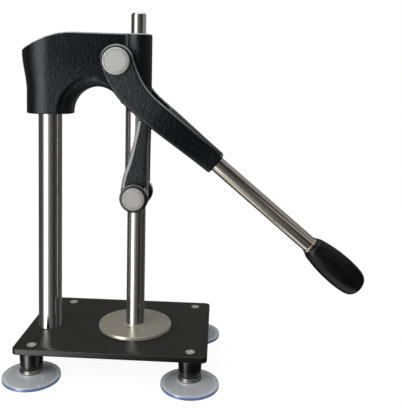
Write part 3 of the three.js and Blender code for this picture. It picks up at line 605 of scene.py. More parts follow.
upright = (0, 0, 0)
with_handle = (0, math.pi / 2 + rest_angle, 0)
bright_steel = drawn_steel("steel_drawn_bright", upright, (0.60, 0.59, 0.57), 0.09, 0.13)
handle_steel = drawn_steel("steel_drawn_handle", with_handle, (0.68, 0.62, 0.53), 0.12, 0.16)
satin_steel = drawn_steel("steel_satin_hidden", upright, (0.45, 0.44, 0.42), 0.35, 0.45)
pewter = drawn_steel("steel_turned_ring", upright, (0.34, 0.335, 0.32), 0.2, 0.3)
disc_steel = turned_steel("steel_turned_disc", spot(shaft_x, 0, 0), (0.62, 0.58, 0.49), 0.2, 0.28, 0.55)
pivot_metal = turned_steel(
    "cap_metal_pivot", spot(pivot_x, 0, pivot_z), (0.52, 0.52, 0.51), 0.42, 0.48, 0.25, True
)
cross_metal = turned_steel(
    "cap_metal_cross", spot(shaft_x, 0, cross_z), (0.48, 0.475, 0.44), 0.42, 0.48, 0.25, True
)
zinc = clouded("zinc_plated", 300, ((0.66, 0.66, 0.66), (0.78, 0.78, 0.77)), (0.3, 0.4), Metallic=0.5)
bronze = clouded("bronze_bush", 400, ((0.24, 0.15, 0.07), (0.34, 0.22, 0.10)), (0.35, 0.5), Metallic=0.9)
print("metals ready")

# %% [markdown]
# ## More tools
#
# Most pieces are turned: a point is extruded along half of the section and spun round. The others start
# as an outline, filled and extruded. A finished piece takes over from its solid and rides on its body.


# %% Tools for pieces
def drawn(name, points):
    """A chain of edges through the points, made by extruding one vertex from point to point."""
    points = [Vector(point) for point in points]
    piece = start_line(name, points[0])
    for start, stop in zip(points, points[1:]):
        extrude(stop - start)
    return piece


def spun(name, section, steps=96):
    """A turned body from half of its section: distance from the axis and height, in millimetres."""
    piece = drawn(name, [(distance * MM, 0, height * MM) for distance, height in section])
    spin_round(steps)
    return piece


def filled(name, points, thickness):
    """A plate: the closed outline through the points, filled, and extruded by the thickness."""
    piece = drawn(name, list(points) + [points[0]])
    bpy.ops.mesh.select_all(action="SELECT")
    bpy.ops.mesh.remove_doubles(threshold=1e-6)
    bpy.ops.mesh.edge_face_add()
    extrude(thickness)
    end()
    return piece


def placed(piece, at, turn=upright):
    """Moves and turns the piece, and applies both."""
    select_only(piece)
    piece.matrix_world = Matrix.Translation(at) @ Euler(turn).to_matrix().to_4x4()
    bpy.ops.object.transform_apply(location=True, rotation=True, scale=True)
    return piece


def copied(piece, name, shift):
    """A copy with its own mesh, moved by a shift."""
    copy = piece.copy()
    copy.data = piece.data.copy()
    copy.name = name
    bpy.context.collection.objects.link(copy)
    return placed(copy, shift)


print("tools for starting a piece ready")


# %% Tools for cutting and finishing
def applied(piece, kind, **settings):
    modifier = piece.modifiers.new(kind.title(), kind)
    for setting, value in settings.items():
        setattr(modifier, setting, value)
    select_only(piece)
    bpy.ops.object.modifier_apply(modifier=modifier.name)


def eased(piece, width, segments=3):
    """Rounds the sharp edges."""
    applied(piece, "BEVEL", width=width * MM, segments=segments, angle_limit=math.radians(35))


def combined(piece, other, operation):
    """Cuts the other body out of the piece, joins it on, or keeps what both share; the other one goes."""
    applied(piece, "BOOLEAN", object=other, operation=operation, solver="EXACT")
    bpy.data.objects.remove(other)


def bar(radius, start, stop, sides=64):
    """A round bar along the axis, to cut with or to join on."""
    return spun("bar", [(0, start), (radius, start), (radius, stop), (0, stop)], sides)


def drilled(piece, radius, start, stop, at=(0, 0, 0), turn=upright, sides=48):
    """Cuts a round hole, placed and turned."""
    combined(piece, placed(bar(radius, start, stop, sides), at, turn), "DIFFERENCE")


def softened(piece, rounds):
    """Gives the corners the softness of a casting: small even faces, then smoothed."""
    applied(piece, "REMESH", mode="VOXEL", voxel_size=0.9 * MM, adaptivity=0.0)
    applied(piece, "SMOOTH", factor=0.5, iterations=rounds)


def smoothed(piece, angle=30):
    """Shades the piece smooth, but for edges sharper than the angle."""
    select_only(piece)
    bpy.ops.object.shade_smooth_by_angle(angle=math.radians(angle))


def settled(piece, body, slot, material, *nodes):
    """The finished piece gets its finish, takes over from its solids and rides on their body."""
    piece.data.materials.clear()
    piece.data.materials.append(material)
    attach(piece, body)
    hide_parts(*nodes)
    print(f"{piece.name}: {len(piece.data.polygons)} faces")


def mounted(piece, at, turn, *settings, angle=30):
    """Places, shades and settles the piece."""
    smoothed(placed(piece, at, turn), angle)
    settled(piece, *settings)


print("tools for cutting and finishing ready")


# %% Curves and sections
def arc(x, y, radius, start, stop, steps):
    """Points on an arc, with the angles in degrees."""
    angles = [math.radians(start + (stop - start) * i / steps) for i in range(steps + 1)]
    return [(x + radius * math.cos(angle), y + radius * math.sin(angle)) for angle in angles]


def bezier(points, steps):
    """Points on a curve from its four control points."""
    (x0, y0), (x1, y1), (x2, y2), (x3, y3) = points
    made = []
    for i in range(steps + 1):
        t = i / steps
        a, b, c, d = (1 - t) ** 3, 3 * t * (1 - t) ** 2, 3 * t**2 * (1 - t), t**3
        made.append((a * x0 + b * x1 + c * x2 + d * x3, a * y0 + b * y1 + c * y2 + d * y3))
    return made


def through(points, steps):
    """A smooth curve through the points, with the given number of steps between two of them."""
    padded = [points[0], *points, points[-1]]
    made = []
    for a, b, c, d in zip(padded, padded[1:], padded[2:], padded[3:]):
        for i in range(steps):
            t = i / steps
            made.append(tuple(
                0.5 * (2 * b[k] + (c[k] - a[k]) * t + (2 * a[k] - 5 * b[k] + 4 * c[k] - d[k]) * t**2
                       + (3 * b[k] - a[k] - 3 * c[k] + d[k]) * t**3)
                for k in (0, 1)
            ))
    return made + [points[-1]]


def smoothstep(share):
    share = min(max(share, 0), 1)
    return share * share * (3 - 2 * share)


def tube_section(inner, outer, low, high, ease):
    """Half of a tube's section, with its outer rims eased."""
    outside = [(outer - ease, low), (outer, low + ease), (outer, high - ease), (outer - ease, high)]
    return [(inner, low), *outside, (inner, high), (inner, low)]


gap = 0.3  # between pieces that are fixed to each other
beyond = 2  # how far a cutter reaches past what it cuts
pin_bore = 4.3
along, across, backwards = (0, math.pi / 2, 0), (math.pi / 2, 0, 0), (-math.pi / 2, 0, 0)
pivot, shaft_foot, shaft_cross = spot(pivot_x, 0, pivot_z), spot(shaft_x, 0, 0), spot(shaft_x, 0, cross_z)
print("curves and sections ready")

# %% [markdown]
# ## Base plate
#
# The plate is 6 mm steel: a cube at its size, bevelled at the four upright edges, with its rim eased by a
# Bevel modifier. Holes are cut for the column's bolt and, countersunk, for the foot screws. Reflections
# leave the plate out, so that the tubes' stripes run down to their feet.

# %% Base plate
plate_corner, plate_rim, hole_depth = 6, 0.7, 9
screw_radius, screw_length, sink_radius, sink_depth = 2.5, 15, 5.3, 2.5
screw_way = screw_radius + gap
plate = begin("plate", bpy.ops.mesh.primitive_cube_add, size=1)
bpy.ops.transform.resize(value=plate_high - plate_low)
bpy.ops.transform.translate(value=(plate_low + plate_high) / 2)
pick(plate, "EDGE", stands)
bpy.ops.mesh.bevel(offset=plate_corner * MM, segments=12, affect="EDGES")
end()
eased(plate, plate_rim)
hole_section = [
    (0, -hole_depth), (screw_way, -hole_depth), (screw_way, -sink_depth), (sink_radius, 0),
    (sink_radius, beyond), (0, beyond),
]
foot_places = {}
for corner in ("front_left", "front_right", "rear_right", "rear_left"):
    low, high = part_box(f"foot_stem_{corner}")
    foot_places[corner] = ((low.x + high.x) / 2, (low.y + high.y) / 2, plate_high.z)
    hole = placed(spun("hole", hole_section, 48), foot_places[corner])
    combined(plate, hole, "DIFFERENCE")
drilled(plate, pin_bore, -hole_depth, beyond, column_foot)
plate.visible_glossy = False
smoothed(plate)
settled(plate, "frame", "plate_black", plate_black, "base_plate")

# %% [markdown]
# ## Feet
#
# A foot is a screw from above, a tapered black stem, a beaded ring and a suction cup of clear vinyl. One
# is modelled at the origin and copied to four places. The cup's section runs from the flat ring on the
# table over the rim and the domed top to the neck and to the spigot in the stem.

# %% Screw and stem
stem_height, ring_height, spigot_way = 17.2, 3.6, 5.8
table = -plate_high.z / MM
stem_top = (plate_low.z - plate_high.z) / MM - gap
stem_bottom = stem_top - stem_height
ring_high = stem_bottom - gap
ring_low = ring_high - ring_height
neck_top = ring_low - gap

screw = spun(
    "screw",
    [(0, -screw_length), (screw_radius, -screw_length), (screw_radius, -sink_depth), (4.85, -0.15),
     (4.7, 0), (0, 0)],
    48,
)
recess = begin("recess", bpy.ops.mesh.primitive_circle_add, vertices=6, radius=2 * MM, fill_type="NGON")
bpy.ops.transform.translate(value=(0, 0, -1.4 * MM))
extrude((0, 0, 3 * MM))
end()
combined(screw, recess, "DIFFERENCE")
eased(screw, 0.12, 2)

screw_end = -screw_length - gap
stem = spun(
    "stem",
    [
        (spigot_way, stem_bottom), (10.9, stem_bottom), (11.3, stem_bottom + 0.4), (12.4, stem_top - 0.5),
        (12.0, stem_top), (screw_way, stem_top), (screw_way, screw_end), (spigot_way, screw_end),
        (spigot_way, stem_bottom),
    ],
)
print("stem from", round(stem_bottom, 1), "to", round(stem_top, 1))

# %% Ring and cup
ring = spun(
    "ring",
    [
        (spigot_way, ring_low), *arc(11.6, ring_low + 0.65, 0.65, -90, 80, 6),
        *arc(11.4, ring_low + 1.95, 0.6, -80, 80, 6), *arc(11.2, ring_high - 0.5, 0.5, -80, 90, 6),
        (spigot_way, ring_high), (spigot_way, ring_low),
    ],
)
cup_radius, cup_round, neck_radius, spigot, spigot_height = 30, 1.3, 14, 5.5, 9
rim_x, rim_top = cup_radius - cup_round, table + 4.5
hollow = [(4, table + 2.4), (14, table + 2.3), (20, table + 1.0), (24.7, table)]
dome = [(rim_x, rim_top), (22, rim_top + 2), (16.4, rim_top + 2), (neck_radius, neck_top - 1.2)]
cup = spun(
    "cup",
    [
        (0, table + 2.4), *bezier(hollow, 10), *arc(rim_x, table + cup_round, cup_round, -90, 0, 6),
        *arc(rim_x, rim_top - cup_round, cup_round, 0, 90, 6), *bezier(dome, 16)[1:],
        *arc(neck_radius - 0.5, neck_top - 0.5, 0.5, 0, 90, 4), (spigot, neck_top),
        (spigot, neck_top + spigot_height), (0, neck_top + spigot_height),
    ],
    128,
)
print("cup from", round(table, 1), "to", round(neck_top, 1))

# %% Four feet
smoothed(cup, 50)
for part in (screw, stem, ring):
    smoothed(part)
foot_parts = [
    (screw, "foot_screw", "bright_steel", zinc),
    (stem, "foot_stem", "gloss_black", gloss_black),
    (ring, "foot_collar", "bright_steel", pewter),
    (cup, "suction_cup", "clear_vinyl", clear_vinyl),
]
for corner, foot_place in foot_places.items():
    for part, node, slot_name, material in foot_parts:
        foot_part = copied(part, f"{node}_{corner}_fine", foot_place)
        settled(foot_part, "frame", slot_name, material, f"{node}_{corner}")
for part, *_ in foot_parts:
    bpy.data.objects.remove(part)

# %% [markdown]
# ## Column
#
# The column is a polished tube whose outer rims are eased.

# %% Column
column = spun("column_tube", tube_section(10.7, 12.7, gap, 299, 0.2))
mounted(column, column_foot, upright, "frame", "bright_steel", bright_steel, "column")

# %% [markdown]
# ## Head
#
# The head is a casting: a collar round the column, a hood that widens above it, a web, and a sleeve
# round the shaft, with an arch between the two. It could be sculpted, but here it is cut as a pattern
# maker would. A plan is extruded upwards in steps and widened at the collar, a side outline and a turned
# cutter take away what is outside, and a Remesh with some smoothing gives the soft corners of a casting.
# The bores come last and sharp.

# %% Head plan
collar, flare, sleeve = 25.0, 5.0, 15.0
crease = 4.0
arch_radius = (shaft_x - sleeve - collar) / 2
arch_x, arch_z = collar + arch_radius, collar_bottom + 2


def head_plan():
    """The plan at the collar: the sleeve's arc, a hollow corner, a straight wall and the collar's arc."""
    joint_x = shaft_x + sleeve * math.cos(math.radians(135))
    joint_y = sleeve * math.sin(math.radians(135))
    tangent = math.atan2(joint_y, joint_x) + math.acos(collar / math.hypot(joint_x, joint_y))
    out = collar + crease - shaft_x * math.cos(tangent)
    along_wall = math.sqrt((sleeve + crease) ** 2 - out**2)
    corner_x = shaft_x + out * math.cos(tangent) - along_wall * math.sin(tangent)
    corner_y = out * math.sin(tangent) + along_wall * math.cos(tangent)
    meeting = math.degrees(math.atan2(corner_y, corner_x - shaft_x))
    half = [
        *arc(shaft_x, 0, sleeve, 0, meeting, 24),
        *arc(corner_x, corner_y, crease, meeting - 180, math.degrees(tangent) - 180, 8)[1:],
        *arc(0, 0, collar, math.degrees(tangent), 180, 32),
    ]
    return half + [(x, -y) for x, y in reversed(half[1:-1])]


print("head plan of", len(head_plan()), "points, arch radius", round(arch_radius, 2))

# %% Head pattern
collar_height, flare_height, levels = 24, 42.9, 12
plan = [spot(x, y, collar_bottom) for x, y in head_plan()]
head = filled("head_casting", plan, (0, 0, collar_height * MM))
bpy.ops.object.mode_set(mode="EDIT")
level, widest = collar_bottom + collar_height, collar
for i in range(1, levels + 2):
    just_below = spot(0, 0, level - 0.1).z
    pick(head, "FACE", lambda face: face.normal.z > 0.9 and middle_of(face).z > just_below)
    rise = flare_height / levels if i <= levels else head_top + beyond - level
    extrude((0, 0, rise * MM))
    level += rise
    just_below, collar_side = spot(0, 0, level - 0.1).z, spot(collar, 0, 0).x
    pick(head, "VERT", lambda vert: vert.co.z > just_below and vert.co.x < collar_side)
    wanted = collar + flare * smoothstep(i / levels)
    grow = wanted / widest
    bpy.ops.transform.resize(value=(grow, grow, 1), center_override=spot(0, 0, level))
    widest = wanted
end()
print("head pattern", [round(side / MM, 1) for side in head.dimensions])

# %% Side outline
slope = math.radians(23.7)
hood_left, corner_z = -collar - flare, collar_bottom + 66.9
bend_x = hood_left + (head_top - corner_z) / math.tan(slope)
bend = [(bend_x + reach, head_top) for reach in (15, 5)]
bend += [(bend_x - reach * math.cos(slope), head_top - reach * math.sin(slope)) for reach in (5, 15)]
sleeve_bottom = collar_bottom + 12
sleeve_side = shaft_x + sleeve + beyond
arch_end = math.degrees(math.asin((sleeve_bottom - arch_z) / arch_radius))
side = [
    (hood_left - beyond, collar_bottom), (collar, collar_bottom),
    *arc(arch_x, arch_z, arch_radius, 180, arch_end, 48), (sleeve_side, sleeve_bottom),
    (sleeve_side, head_top), *bezier(bend, 10),
    (hood_left - beyond, corner_z - beyond * math.tan(slope)),
]
half_depth = 50
side_body = filled("side_body", [spot(x, -half_depth, z) for x, z in side], (0, 2 * half_depth * MM, 0))
combined(head, side_body, "INTERSECT")
print("side outline of", len(side), "points")

# %% Arch and boss
arch_round, arch_flat, arch_reach = 10.5, 6, 40
boss_radius, boss_reach = 15, 20.7
widened = arch_radius + arch_round
half_arch = [*arc(widened, arch_flat, arch_round, 180, 90, 12), (widened, arch_reach), (0, arch_reach)]
arch_cutter = spun("arch_cutter", [(r, -y) for r, y in reversed(half_arch)] + half_arch, 128)
combined(head, placed(arch_cutter, spot(arch_x, 0, arch_z), across), "DIFFERENCE")
combined(head, placed(bar(boss_radius, -boss_reach, boss_reach), pivot, across), "UNION")
print("arch and boss cut and joined")

# %% Soft corners and bores
softened(head, 9)
column_bore, tube_bore, bush_bore, set_screw_bore = 13.0, 13.3, 10.3, 3.3
bush_seat = head_top - 9
set_screw_place = spot(0, 0, collar_bottom + 61 / 3)
drilled(head, column_bore, collar_bottom - beyond, 299.3, column_foot, sides=96)
drilled(head, tube_bore, sleeve_bottom - beyond, bush_seat, shaft_foot, sides=96)
drilled(head, bush_bore, bush_seat - beyond, head_top + beyond, shaft_foot, sides=96)
drilled(head, pin_bore, -27, 27, pivot, across)
drilled(head, set_screw_bore, -half_depth, 0, set_screw_place, across)
smoothed(head, 40)
settled(head, "frame", "cast_black", cast_black, "head")

# %% [markdown]
# ## Bush and pivot pins
#
# The bush is a plain bronze ring. The pins have flat caps with rounded rims and a fine turned groove. One
# cap belongs to the pin, and the other one is loose.

# %% Bush and pins
bush_foot, bush_face = head_top - 8.7, head_top - gap
bush = spun(
    "bush",
    [(8.3, bush_foot), (10, bush_foot), (10, bush_face - 0.3), (9.7, bush_face), (8.6, bush_face),
     (8.3, bush_face - 0.3), (8.3, bush_foot)],
)
mounted(bush, shaft_foot, upright, "frame", "bronze", bronze, "rod_bush")


def pin_with_cap(name, cap_radius, cap_thickness, cap_face):
    """A pin whose cap stands at its upper end, and the loose cap for the other end."""
    top, half_cap, rim_round = cap_face + cap_thickness, cap_thickness / 2, 1.8
    groove, groove_depth = 0.82 * cap_radius, 0.6
    cap_rim = [
        (cap_radius - 0.2, cap_face), (cap_radius, cap_face + 0.2),
        *arc(cap_radius - rim_round, top - rim_round, rim_round, 0, 90, 8),
        (groove + 0.5, top), (groove, top - groove_depth), (groove - 0.9, top), (0, top),
    ]
    pin_end, seat = -cap_face - half_cap, cap_face + half_cap + gap
    pin = spun(name, [(0, pin_end), (4, pin_end), (4, cap_face), *cap_rim])
    loose = spun(f"{name}_cap", [(0, seat), (pin_bore, seat), (pin_bore, cap_face), *cap_rim])
    return pin, loose


pivot_pin, pivot_cap = pin_with_cap("pivot_pin", 14.2, 5, 27.3)
mounted(pivot_pin, pivot, across, "frame", "cap_metal", pivot_metal, "lever_pin")
mounted(pivot_cap, pivot, backwards, "frame", "cap_metal", pivot_metal, "lever_pin_cap")
shaft_pin, shaft_cap = pin_with_cap("shaft_pin", 11.9, 3.8, 26.3)
mounted(shaft_pin, shaft_cross, across, "shaft", "cap_metal", cross_metal, "cross_pin")
mounted(shaft_cap, shaft_cross, backwards, "shaft", "cap_metal", cross_metal, "cross_pin_cap")

# %% [markdown]
# ## Shaft
#
# The press shaft is a polished rod with a thinner tail, a wide tube round it that slides in the head's
# sleeve, and a press disc at its foot. All are turned, with small rounds that catch the light. Like the
# plate, the disc is left out of reflections.

# %% Rod and tube
tube_bottom, tube_top, disc_top = cross_z - 6.5, 256.0, 7.0
rod_radius, tail_radius, rod_foot, rod_top = 10, 8, 5.7, head_top + 22.2
tail_end = [(tail_radius, rod_top - 3), (tail_radius, rod_top - 1), (7, rod_top), (5, rod_top)]
cross_height = (0, 0, cross_z * MM)
rod = spun(
    "rod",
    [
        (0, rod_foot), (rod_radius - 0.2, rod_foot), (rod_radius, rod_foot + 0.2),
        (rod_radius, tube_top - 0.3), (rod_radius - 0.3, tube_top), (tail_radius, tube_top),
        *bezier(tail_end, 10), (0, rod_top),
    ],
)
drilled(rod, pin_bore, -12, 12, cross_height, across)
drilled(rod, 3.3, 3, 17.8, sides=32)
mounted(rod, shaft_foot, upright, "shaft", "bright_steel", bright_steel, "press_rod")
tube = spun("sliding_tube", tube_section(rod_radius + gap, 13, tube_bottom, tube_top, 0.4))
drilled(tube, pin_bore, -20, 20, cross_height, across)
mounted(tube, shaft_foot, upright, "shaft", "bright_steel", bright_steel, "slide_tube")

# %% Press disc
disc_face, rod_seat = disc_top - 3.5, disc_top - 1.6
disc = spun(
    "disc",
    [
        (0, disc_face), *arc(39.4, disc_face + 0.6, 0.6, -90, 0, 4),
        *arc(39.3, disc_top - 0.7, 0.7, 0, 90, 5), (11.8, disc_top),
        *arc(11.8, disc_top + 0.3, 0.3, -90, -180, 3), *arc(11.1, disc_top + 0.8, 0.4, 0, 90, 4),
        (10.3, disc_top + 1.2), (10.3, rod_seat), (0, rod_seat),
    ],
    160,
)
screw_space = spun("screw_space", [(0, -2), (5.3, -2), (5.3, 0), (3.3, 2), (3.3, 6), (0, 6)], 48)
combined(disc, placed(screw_space, (0, 0, disc_face * MM)), "DIFFERENCE")
disc.visible_glossy = False
mounted(disc, shaft_foot, upright, "shaft", "satin_steel", disc_steel, "press_disc")

# %% [markdown]
# ## Lever arm
#
# The arm is a forked casting whose section changes all along: flat cheeks at the pivot, a deep belly in
# the middle and a rounded socket at the handle. Lofting suits that: planes with bevelled corners are
# bridged. The fork's gap is cut, Remesh and smoothing soften the corners, and the bores follow. The arm
# is modelled level, with its pivot at the origin.

# %% Lever sizes
eye_radius, arm_length = 18.0, 150.0
cheek_inner, cheek_outer = 21.0, 27.0
fork_length = 62.0
top_drop, belly, belly_at, blend_at = 2.0, 30.1, 60.0, 58.0
socket_height, socket_width = 24.6, 26.0
top_leaves, bottom_leaves = 0.64 * eye_radius, -0.745 * eye_radius
fork_round, socket_round, end_round = 2.4, 4.5, 1.6


def eye_height(x):
    return math.sqrt(max(eye_radius**2 - x**2, 0))


def arm_top(x):
    if x <= top_leaves:
        return eye_height(x)
    left = max(1 - (x - top_leaves) / (blend_at - top_leaves), 0)
    return -top_drop + (eye_height(top_leaves) + top_drop) * left**2


def arm_bottom(x):
    if x <= bottom_leaves:
        return -eye_height(x)
    left = max(1 - (x - bottom_leaves) / (belly_at - bottom_leaves), 0)
    run = min(max((x - belly_at) / (arm_length - belly_at), 0), 1)
    return -belly + (belly - eye_height(bottom_leaves)) * left**3 + (belly - top_drop - socket_height) * run


def towards_socket(x):
    """Zero along the fork and one at the arm's end, with a soft step between."""
    return smoothstep((x - fork_length) / (arm_length - fork_length))


def arm_half_width(x):
    return cheek_outer + (socket_width / 2 - cheek_outer) * towards_socket(x)


def corner_round(x, low, high):
    wish = fork_round + (socket_round - fork_round) * towards_socket(x)
    return min(wish, 0.45 * (high - low))


print("belly", round(arm_bottom(belly_at), 1), "socket", round(arm_bottom(arm_length), 1))

# %% Lever sections
stations = [-eye_radius * math.cos(math.radians(90 * (i + 0.2) / 14)) for i in range(14)]
stations += [(arm_length - end_round) * i / 50 for i in range(51)]
sections = [(x, arm_bottom(x), arm_top(x), arm_half_width(x)) for x in stations]
for turn in (math.radians(22.5 * i) for i in range(1, 5)):
    inwards = end_round * (1 - math.cos(turn))
    x = arm_length - end_round + end_round * math.sin(turn)
    sections.append((x, arm_bottom(arm_length) + inwards, -top_drop - inwards, socket_width / 2 - inwards))
arm = begin("lever_casting", bpy.ops.mesh.primitive_plane_add, size=MM)
bpy.ops.mesh.delete(type="VERT")
for x, low, high, half in sections:
    bpy.ops.mesh.primitive_plane_add(size=1, rotation=along)
    bpy.ops.transform.resize(value=(1, 2 * half * MM, (high - low) * MM))
    bpy.ops.transform.translate(value=(x * MM, 0, (low + high) / 2 * MM))
    bpy.ops.mesh.bevel(offset=corner_round(x, low, high) * MM, segments=6, affect="VERTICES")
    bpy.ops.mesh.select_all(action="DESELECT")
bpy.ops.mesh.select_mode(type="FACE")
bpy.ops.mesh.select_all(action="SELECT")
bpy.ops.mesh.delete(type="ONLY_FACE")
bpy.ops.mesh.select_mode(type="EDGE")
bpy.ops.mesh.select_all(action="SELECT")
bpy.ops.mesh.bridge_edge_loops()
for end_x in (sections[0][0], sections[-1][0]):
    pick(arm, "EDGE", lambda edge: all(abs(vert.co.x - end_x * MM) < 0.01 * MM for vert in edge.verts))
    bpy.ops.mesh.edge_face_add()
end()
print("lever sections", len(sections), "| size", [round(side / MM, 1) for side in arm.dimensions])

# %% Fork, soft corners and bores
fork_end, fork_height, fork_corner = 73, 90, 6
fork_start = -2 * eye_radius
link_along, link_drop = 55.0, 22.0
handle_drop = top_drop + socket_height / 2
fork_gap = begin("fork_gap", bpy.ops.mesh.primitive_cube_add, size=1)
bpy.ops.transform.resize(value=((fork_end - fork_start) * MM, 2 * cheek_inner * MM, fork_height * MM))
bpy.ops.transform.translate(value=((fork_start + fork_end) / 2 * MM, 0, 0))
pick(fork_gap, "EDGE", lambda edge: middle_of(edge).x > 50 * MM and stands(edge))
bpy.ops.mesh.bevel(offset=fork_corner * MM, segments=8, affect="EDGES")
end()
combined(arm, fork_gap, "DIFFERENCE")
softened(arm, 5)
drilled(arm, pin_bore, -30, 30, (0, 0, 0), across)
drilled(arm, 9.1, 118, arm_length + beyond, (0, 0, -handle_drop * MM), along, 96)
drilled(arm, screw_way, -32, -handle_drop, ((arm_length - 12) * MM, 0, 0), sides=32)
print("lever faces", len(arm.data.polygons))

# %% [markdown]
# ### Pockets for the links' stub pins
#
# The stub pins move a little in the cheeks while the lever lifts, so each cheek has a shallow long
# pocket instead of a bore, cut round at five shares of the lift, where the stub pin stands at each.


# %% Linkage
def link_top(angle):
    """The links' upper pins, when the handle slopes down by the angle."""
    x = pivot_x + link_along * math.cos(angle) - link_drop * math.sin(angle)
    z = pivot_z - link_along * math.sin(angle) - link_drop * math.cos(angle)
    return x, z


stroke, lowered = math.radians(60), (0, rest_angle, 0)
rest_x, rest_z = link_top(rest_angle)
link_length = math.hypot(rest_x - shaft_x, rest_z - cross_z)


def linkage(lift):
    """The links' upper pins, the cross pin's height and the links' lean when the lever is lifted."""
    x, z = link_top(rest_angle - lift)
    cross = z - math.sqrt(link_length**2 - (x - shaft_x) ** 2)
    return x, z, cross, math.atan2(x - shaft_x, z - cross)


lowest, highest = linkage(0), linkage(stroke)
lean = lowest[3]


def stub_drift(share):
    """How far the stub pin is off its bore, in the lever's frame, part of the way up."""
    angle = lowest[3] + (highest[3] - lowest[3]) * share
    cross = lowest[2] + (highest[2] - lowest[2]) * share
    seat_x, seat_z, *_ = linkage(stroke * share)
    dx = shaft_x + link_length * math.sin(angle) - seat_x
    dz = cross + link_length * math.cos(angle) - seat_z
    turn = rest_angle - stroke * share
    return dx * math.cos(turn) - dz * math.sin(turn), dx * math.sin(turn) + dz * math.cos(turn)


print(f"link length {link_length:.2f}, lean {math.degrees(lean):.2f} degrees")

# %% Pockets
pocket_radius, pocket_reach = 4.8, cheek_inner + 2.9
for share in (0, 0.25, 0.5, 0.75, 1):
    dx, dz = stub_drift(share)
    place = ((link_along + dx) * MM, 0, (-link_drop + dz) * MM)
    drilled(arm, pocket_radius, -pocket_reach, pocket_reach, place, across)
mounted(arm, pivot, lowered, "lever", "cast_black", cast_black, "lever_arm", angle=40)

# %% [markdown]
# ## Handle
#
# The handle's tube ends in a moulded grip, shaped like a long egg, with a bright ring at its neck. The
# grip's outline is a smooth curve through a few widths measured on the picture.


# %% Handle
def mounted_on_handle(piece, *settings, angle=30):
    """Puts a piece that was turned on the upright axis onto the handle's axis."""
    placed(piece, (0, 0, -handle_drop * MM), along)
    mounted(piece, pivot, lowered, "lever", *settings, angle=angle)


ring_start = arm_length + 133
grip_start = ring_start + 2.9
handle_end = grip_start + 34
handle = spun("handle", tube_section(6.8, 8.8, 118.3, handle_end, 0.2))
mounted_on_handle(handle, "bright_steel", handle_steel, "handle_tube")
ring = spun(
    "handle_collar",
    [(9.1, ring_start), *arc(9.4, ring_start + 0.4, 0.4, -90, 0, 4),
     *arc(9.3, ring_start + 2.1, 0.5, 0, 90, 4), (9.1, ring_start + 2.6), (9.1, ring_start)],
)
mounted_on_handle(ring, "bright_steel", handle_steel, "handle_ring")

# %% Grip
grip_radius, grip_length = 16.7, 69.4
grip_shares = [
    (0.0, 0.655), (0.02, 0.69), (0.045, 0.745), (0.1, 0.8), (0.174, 0.859), (0.26, 0.916), (0.347, 0.958),
    (0.434, 0.985), (0.55, 1.0), (0.65, 0.991), (0.736, 0.968), (0.82, 0.92), (0.866, 0.871),
    (0.909, 0.795), (0.952, 0.645), (0.982, 0.4), (1.0, 0.0),
]
outside = [
    (grip_radius * max(across_share, 0), grip_start + grip_length * min(along_share, 1))
    for along_share, across_share in through(grip_shares, 5)
]
bore_end = handle_end + gap
grip = spun("grip_knob", [(0, bore_end), (9.1, bore_end), (9.1, grip_start), *outside], 128)
mounted_on_handle(grip, "gloss_black", grip_black, "grip", angle=50)

# %% [markdown]
# ## Links
#
# Each link is a bar with a round eye below and a narrow end above, hollow on its outer edge. The outline
# is filled and extruded, its outer face is inset, and the points on the hollow edge are sunk, which
# gives the wide chamfer that shines there. Then the rims are bevelled and the eye's boss is joined on.


# %% Link outline
# Shares of the link's length, and of the eye's radius, along the hollow edge and along the straight one.
hollow_shares = [
    (0.89, 0.345), (0.78, 0.385), (0.645, 0.5), (0.5, 0.6), (0.375, 0.735), (0.285, 0.875), (0.195, 0.965),
    (0.095, 1.0),
]
straight_shares = [(0.14, 0.72), (0.46, 0.545), (0.66, 0.445), (0.88, 0.36)]
link_eye, link_tip, tip_leaves = 15.2, 7.0, 35


def link_edge(shares, side):
    return [(side * link_eye * out, link_length * up) for up, out in shares]


def link_outline():
    straight = link_edge(straight_shares, 1)
    eye_end = math.degrees(math.asin(straight[0][1] / link_eye))
    return [
        *straight, *arc(0, link_length, link_tip, -tip_leaves, 180 + tip_leaves, 32),
        *through(link_edge(hollow_shares, -1), 6), *arc(0, 0, link_eye, 180, 360 + eye_end, 48)[:-1],
    ]


print("link outline of", len(link_outline()), "points")

# %% Links
link_back, link_thickness, boss_face, boss_edge = 15.5, 5, 26, 1.6
link_face = link_back + link_thickness
chamfer_width, chamfer_depth, outer_edge, inner_edge = 3.8, 1.1, 0.6, 1
chamfer_low, chamfer_high, sharp = 3, 84, math.radians(50)
hollow_edge = through(link_edge(hollow_shares, -1), 12)


def beside_hollow(vert):
    """Whether the point lies on the outer face and on the hollow edge."""
    x, y, z = vert.co / MM
    if y > 0.1 - link_face or not chamfer_low < z < chamfer_high:
        return False
    return min(math.hypot(x - edge_x, z - edge_z) for edge_x, edge_z in hollow_edge) < 0.5


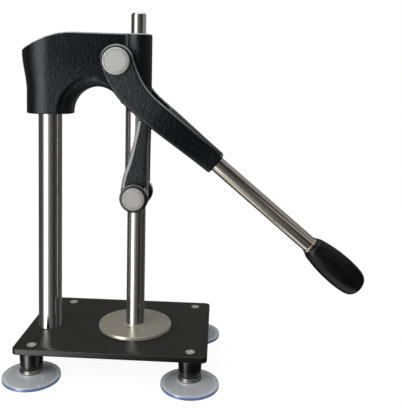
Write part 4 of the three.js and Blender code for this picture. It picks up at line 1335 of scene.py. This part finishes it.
def make_link(name):
    """A link that lies with its outer face at the front, in its own frame."""
    outline = [(x * MM, -link_back * MM, z * MM) for x, z in link_outline()]
    link = filled(name, outline, (0, -link_thickness * MM, 0))
    bpy.ops.object.mode_set(mode="EDIT")
    pick(link, "FACE", lambda face: face.normal.y < -0.99 and face.calc_area() > 300 * MM * MM)
    bpy.ops.mesh.inset(thickness=chamfer_width * MM, use_even_offset=True)
    pick(link, "VERT", beside_hollow)
    bpy.ops.transform.translate(value=(0, chamfer_depth * MM, 0))
    pick(link, "EDGE", lambda edge: middle_of(edge).y < -17 * MM and edge.calc_face_angle(0) > sharp)
    bpy.ops.mesh.bevel(offset=outer_edge * MM, segments=6, affect="EDGES")
    pick(link, "EDGE", lambda edge: all(vert.co.y > -(link_back + 0.1) * MM for vert in edge.verts))
    bpy.ops.mesh.bevel(offset=inner_edge * MM, segments=8, affect="EDGES")
    end()
    rim = arc(link_eye - boss_edge, boss_face - boss_edge, boss_edge, 0, 90, 8)
    boss = spun("boss", [(0, 17), (link_eye, 17), *rim, (0, boss_face)])
    combined(link, placed(boss, (0, 0, 0), across), "UNION")
    for z, depth in ((0, 30), (link_length, 24)):
        drilled(link, pin_bore, 10, depth, (0, 0, z * MM), across)
    return link


front_link = make_link("link_bar_front")
rear_link = make_link("link_bar_rear")
select_only(rear_link)
bpy.ops.transform.mirror(orient_type="GLOBAL", constraint_axis=(False, True, False))
bpy.ops.object.transform_apply(location=True, rotation=True, scale=True)
bpy.ops.object.mode_set(mode="EDIT")
end()
for link, node in ((front_link, "link_front"), (rear_link, "link_rear")):
    mounted(link, shaft_cross, (0, lean, 0), "link", "cast_black", cast_black, node, angle=13)
    # The chamfer's faces take the lighter finish, which is a painted highlight.
    link.data.materials.append(chamfer_highlight_black)
    for face in link.data.polygons:
        if 0.93 < abs(face.normal.y) < 0.98 and face.normal.x < -0.1:
            face.material_index = 1

# %% [markdown]
# ## Hidden screws and pins
#
# These stay as the solids are and only get a finish.

# %% Finish for what stays
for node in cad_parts.values():
    node.data.materials.clear()
    node.data.materials.append(satin_steel)
print("finished", len(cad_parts), "solids")
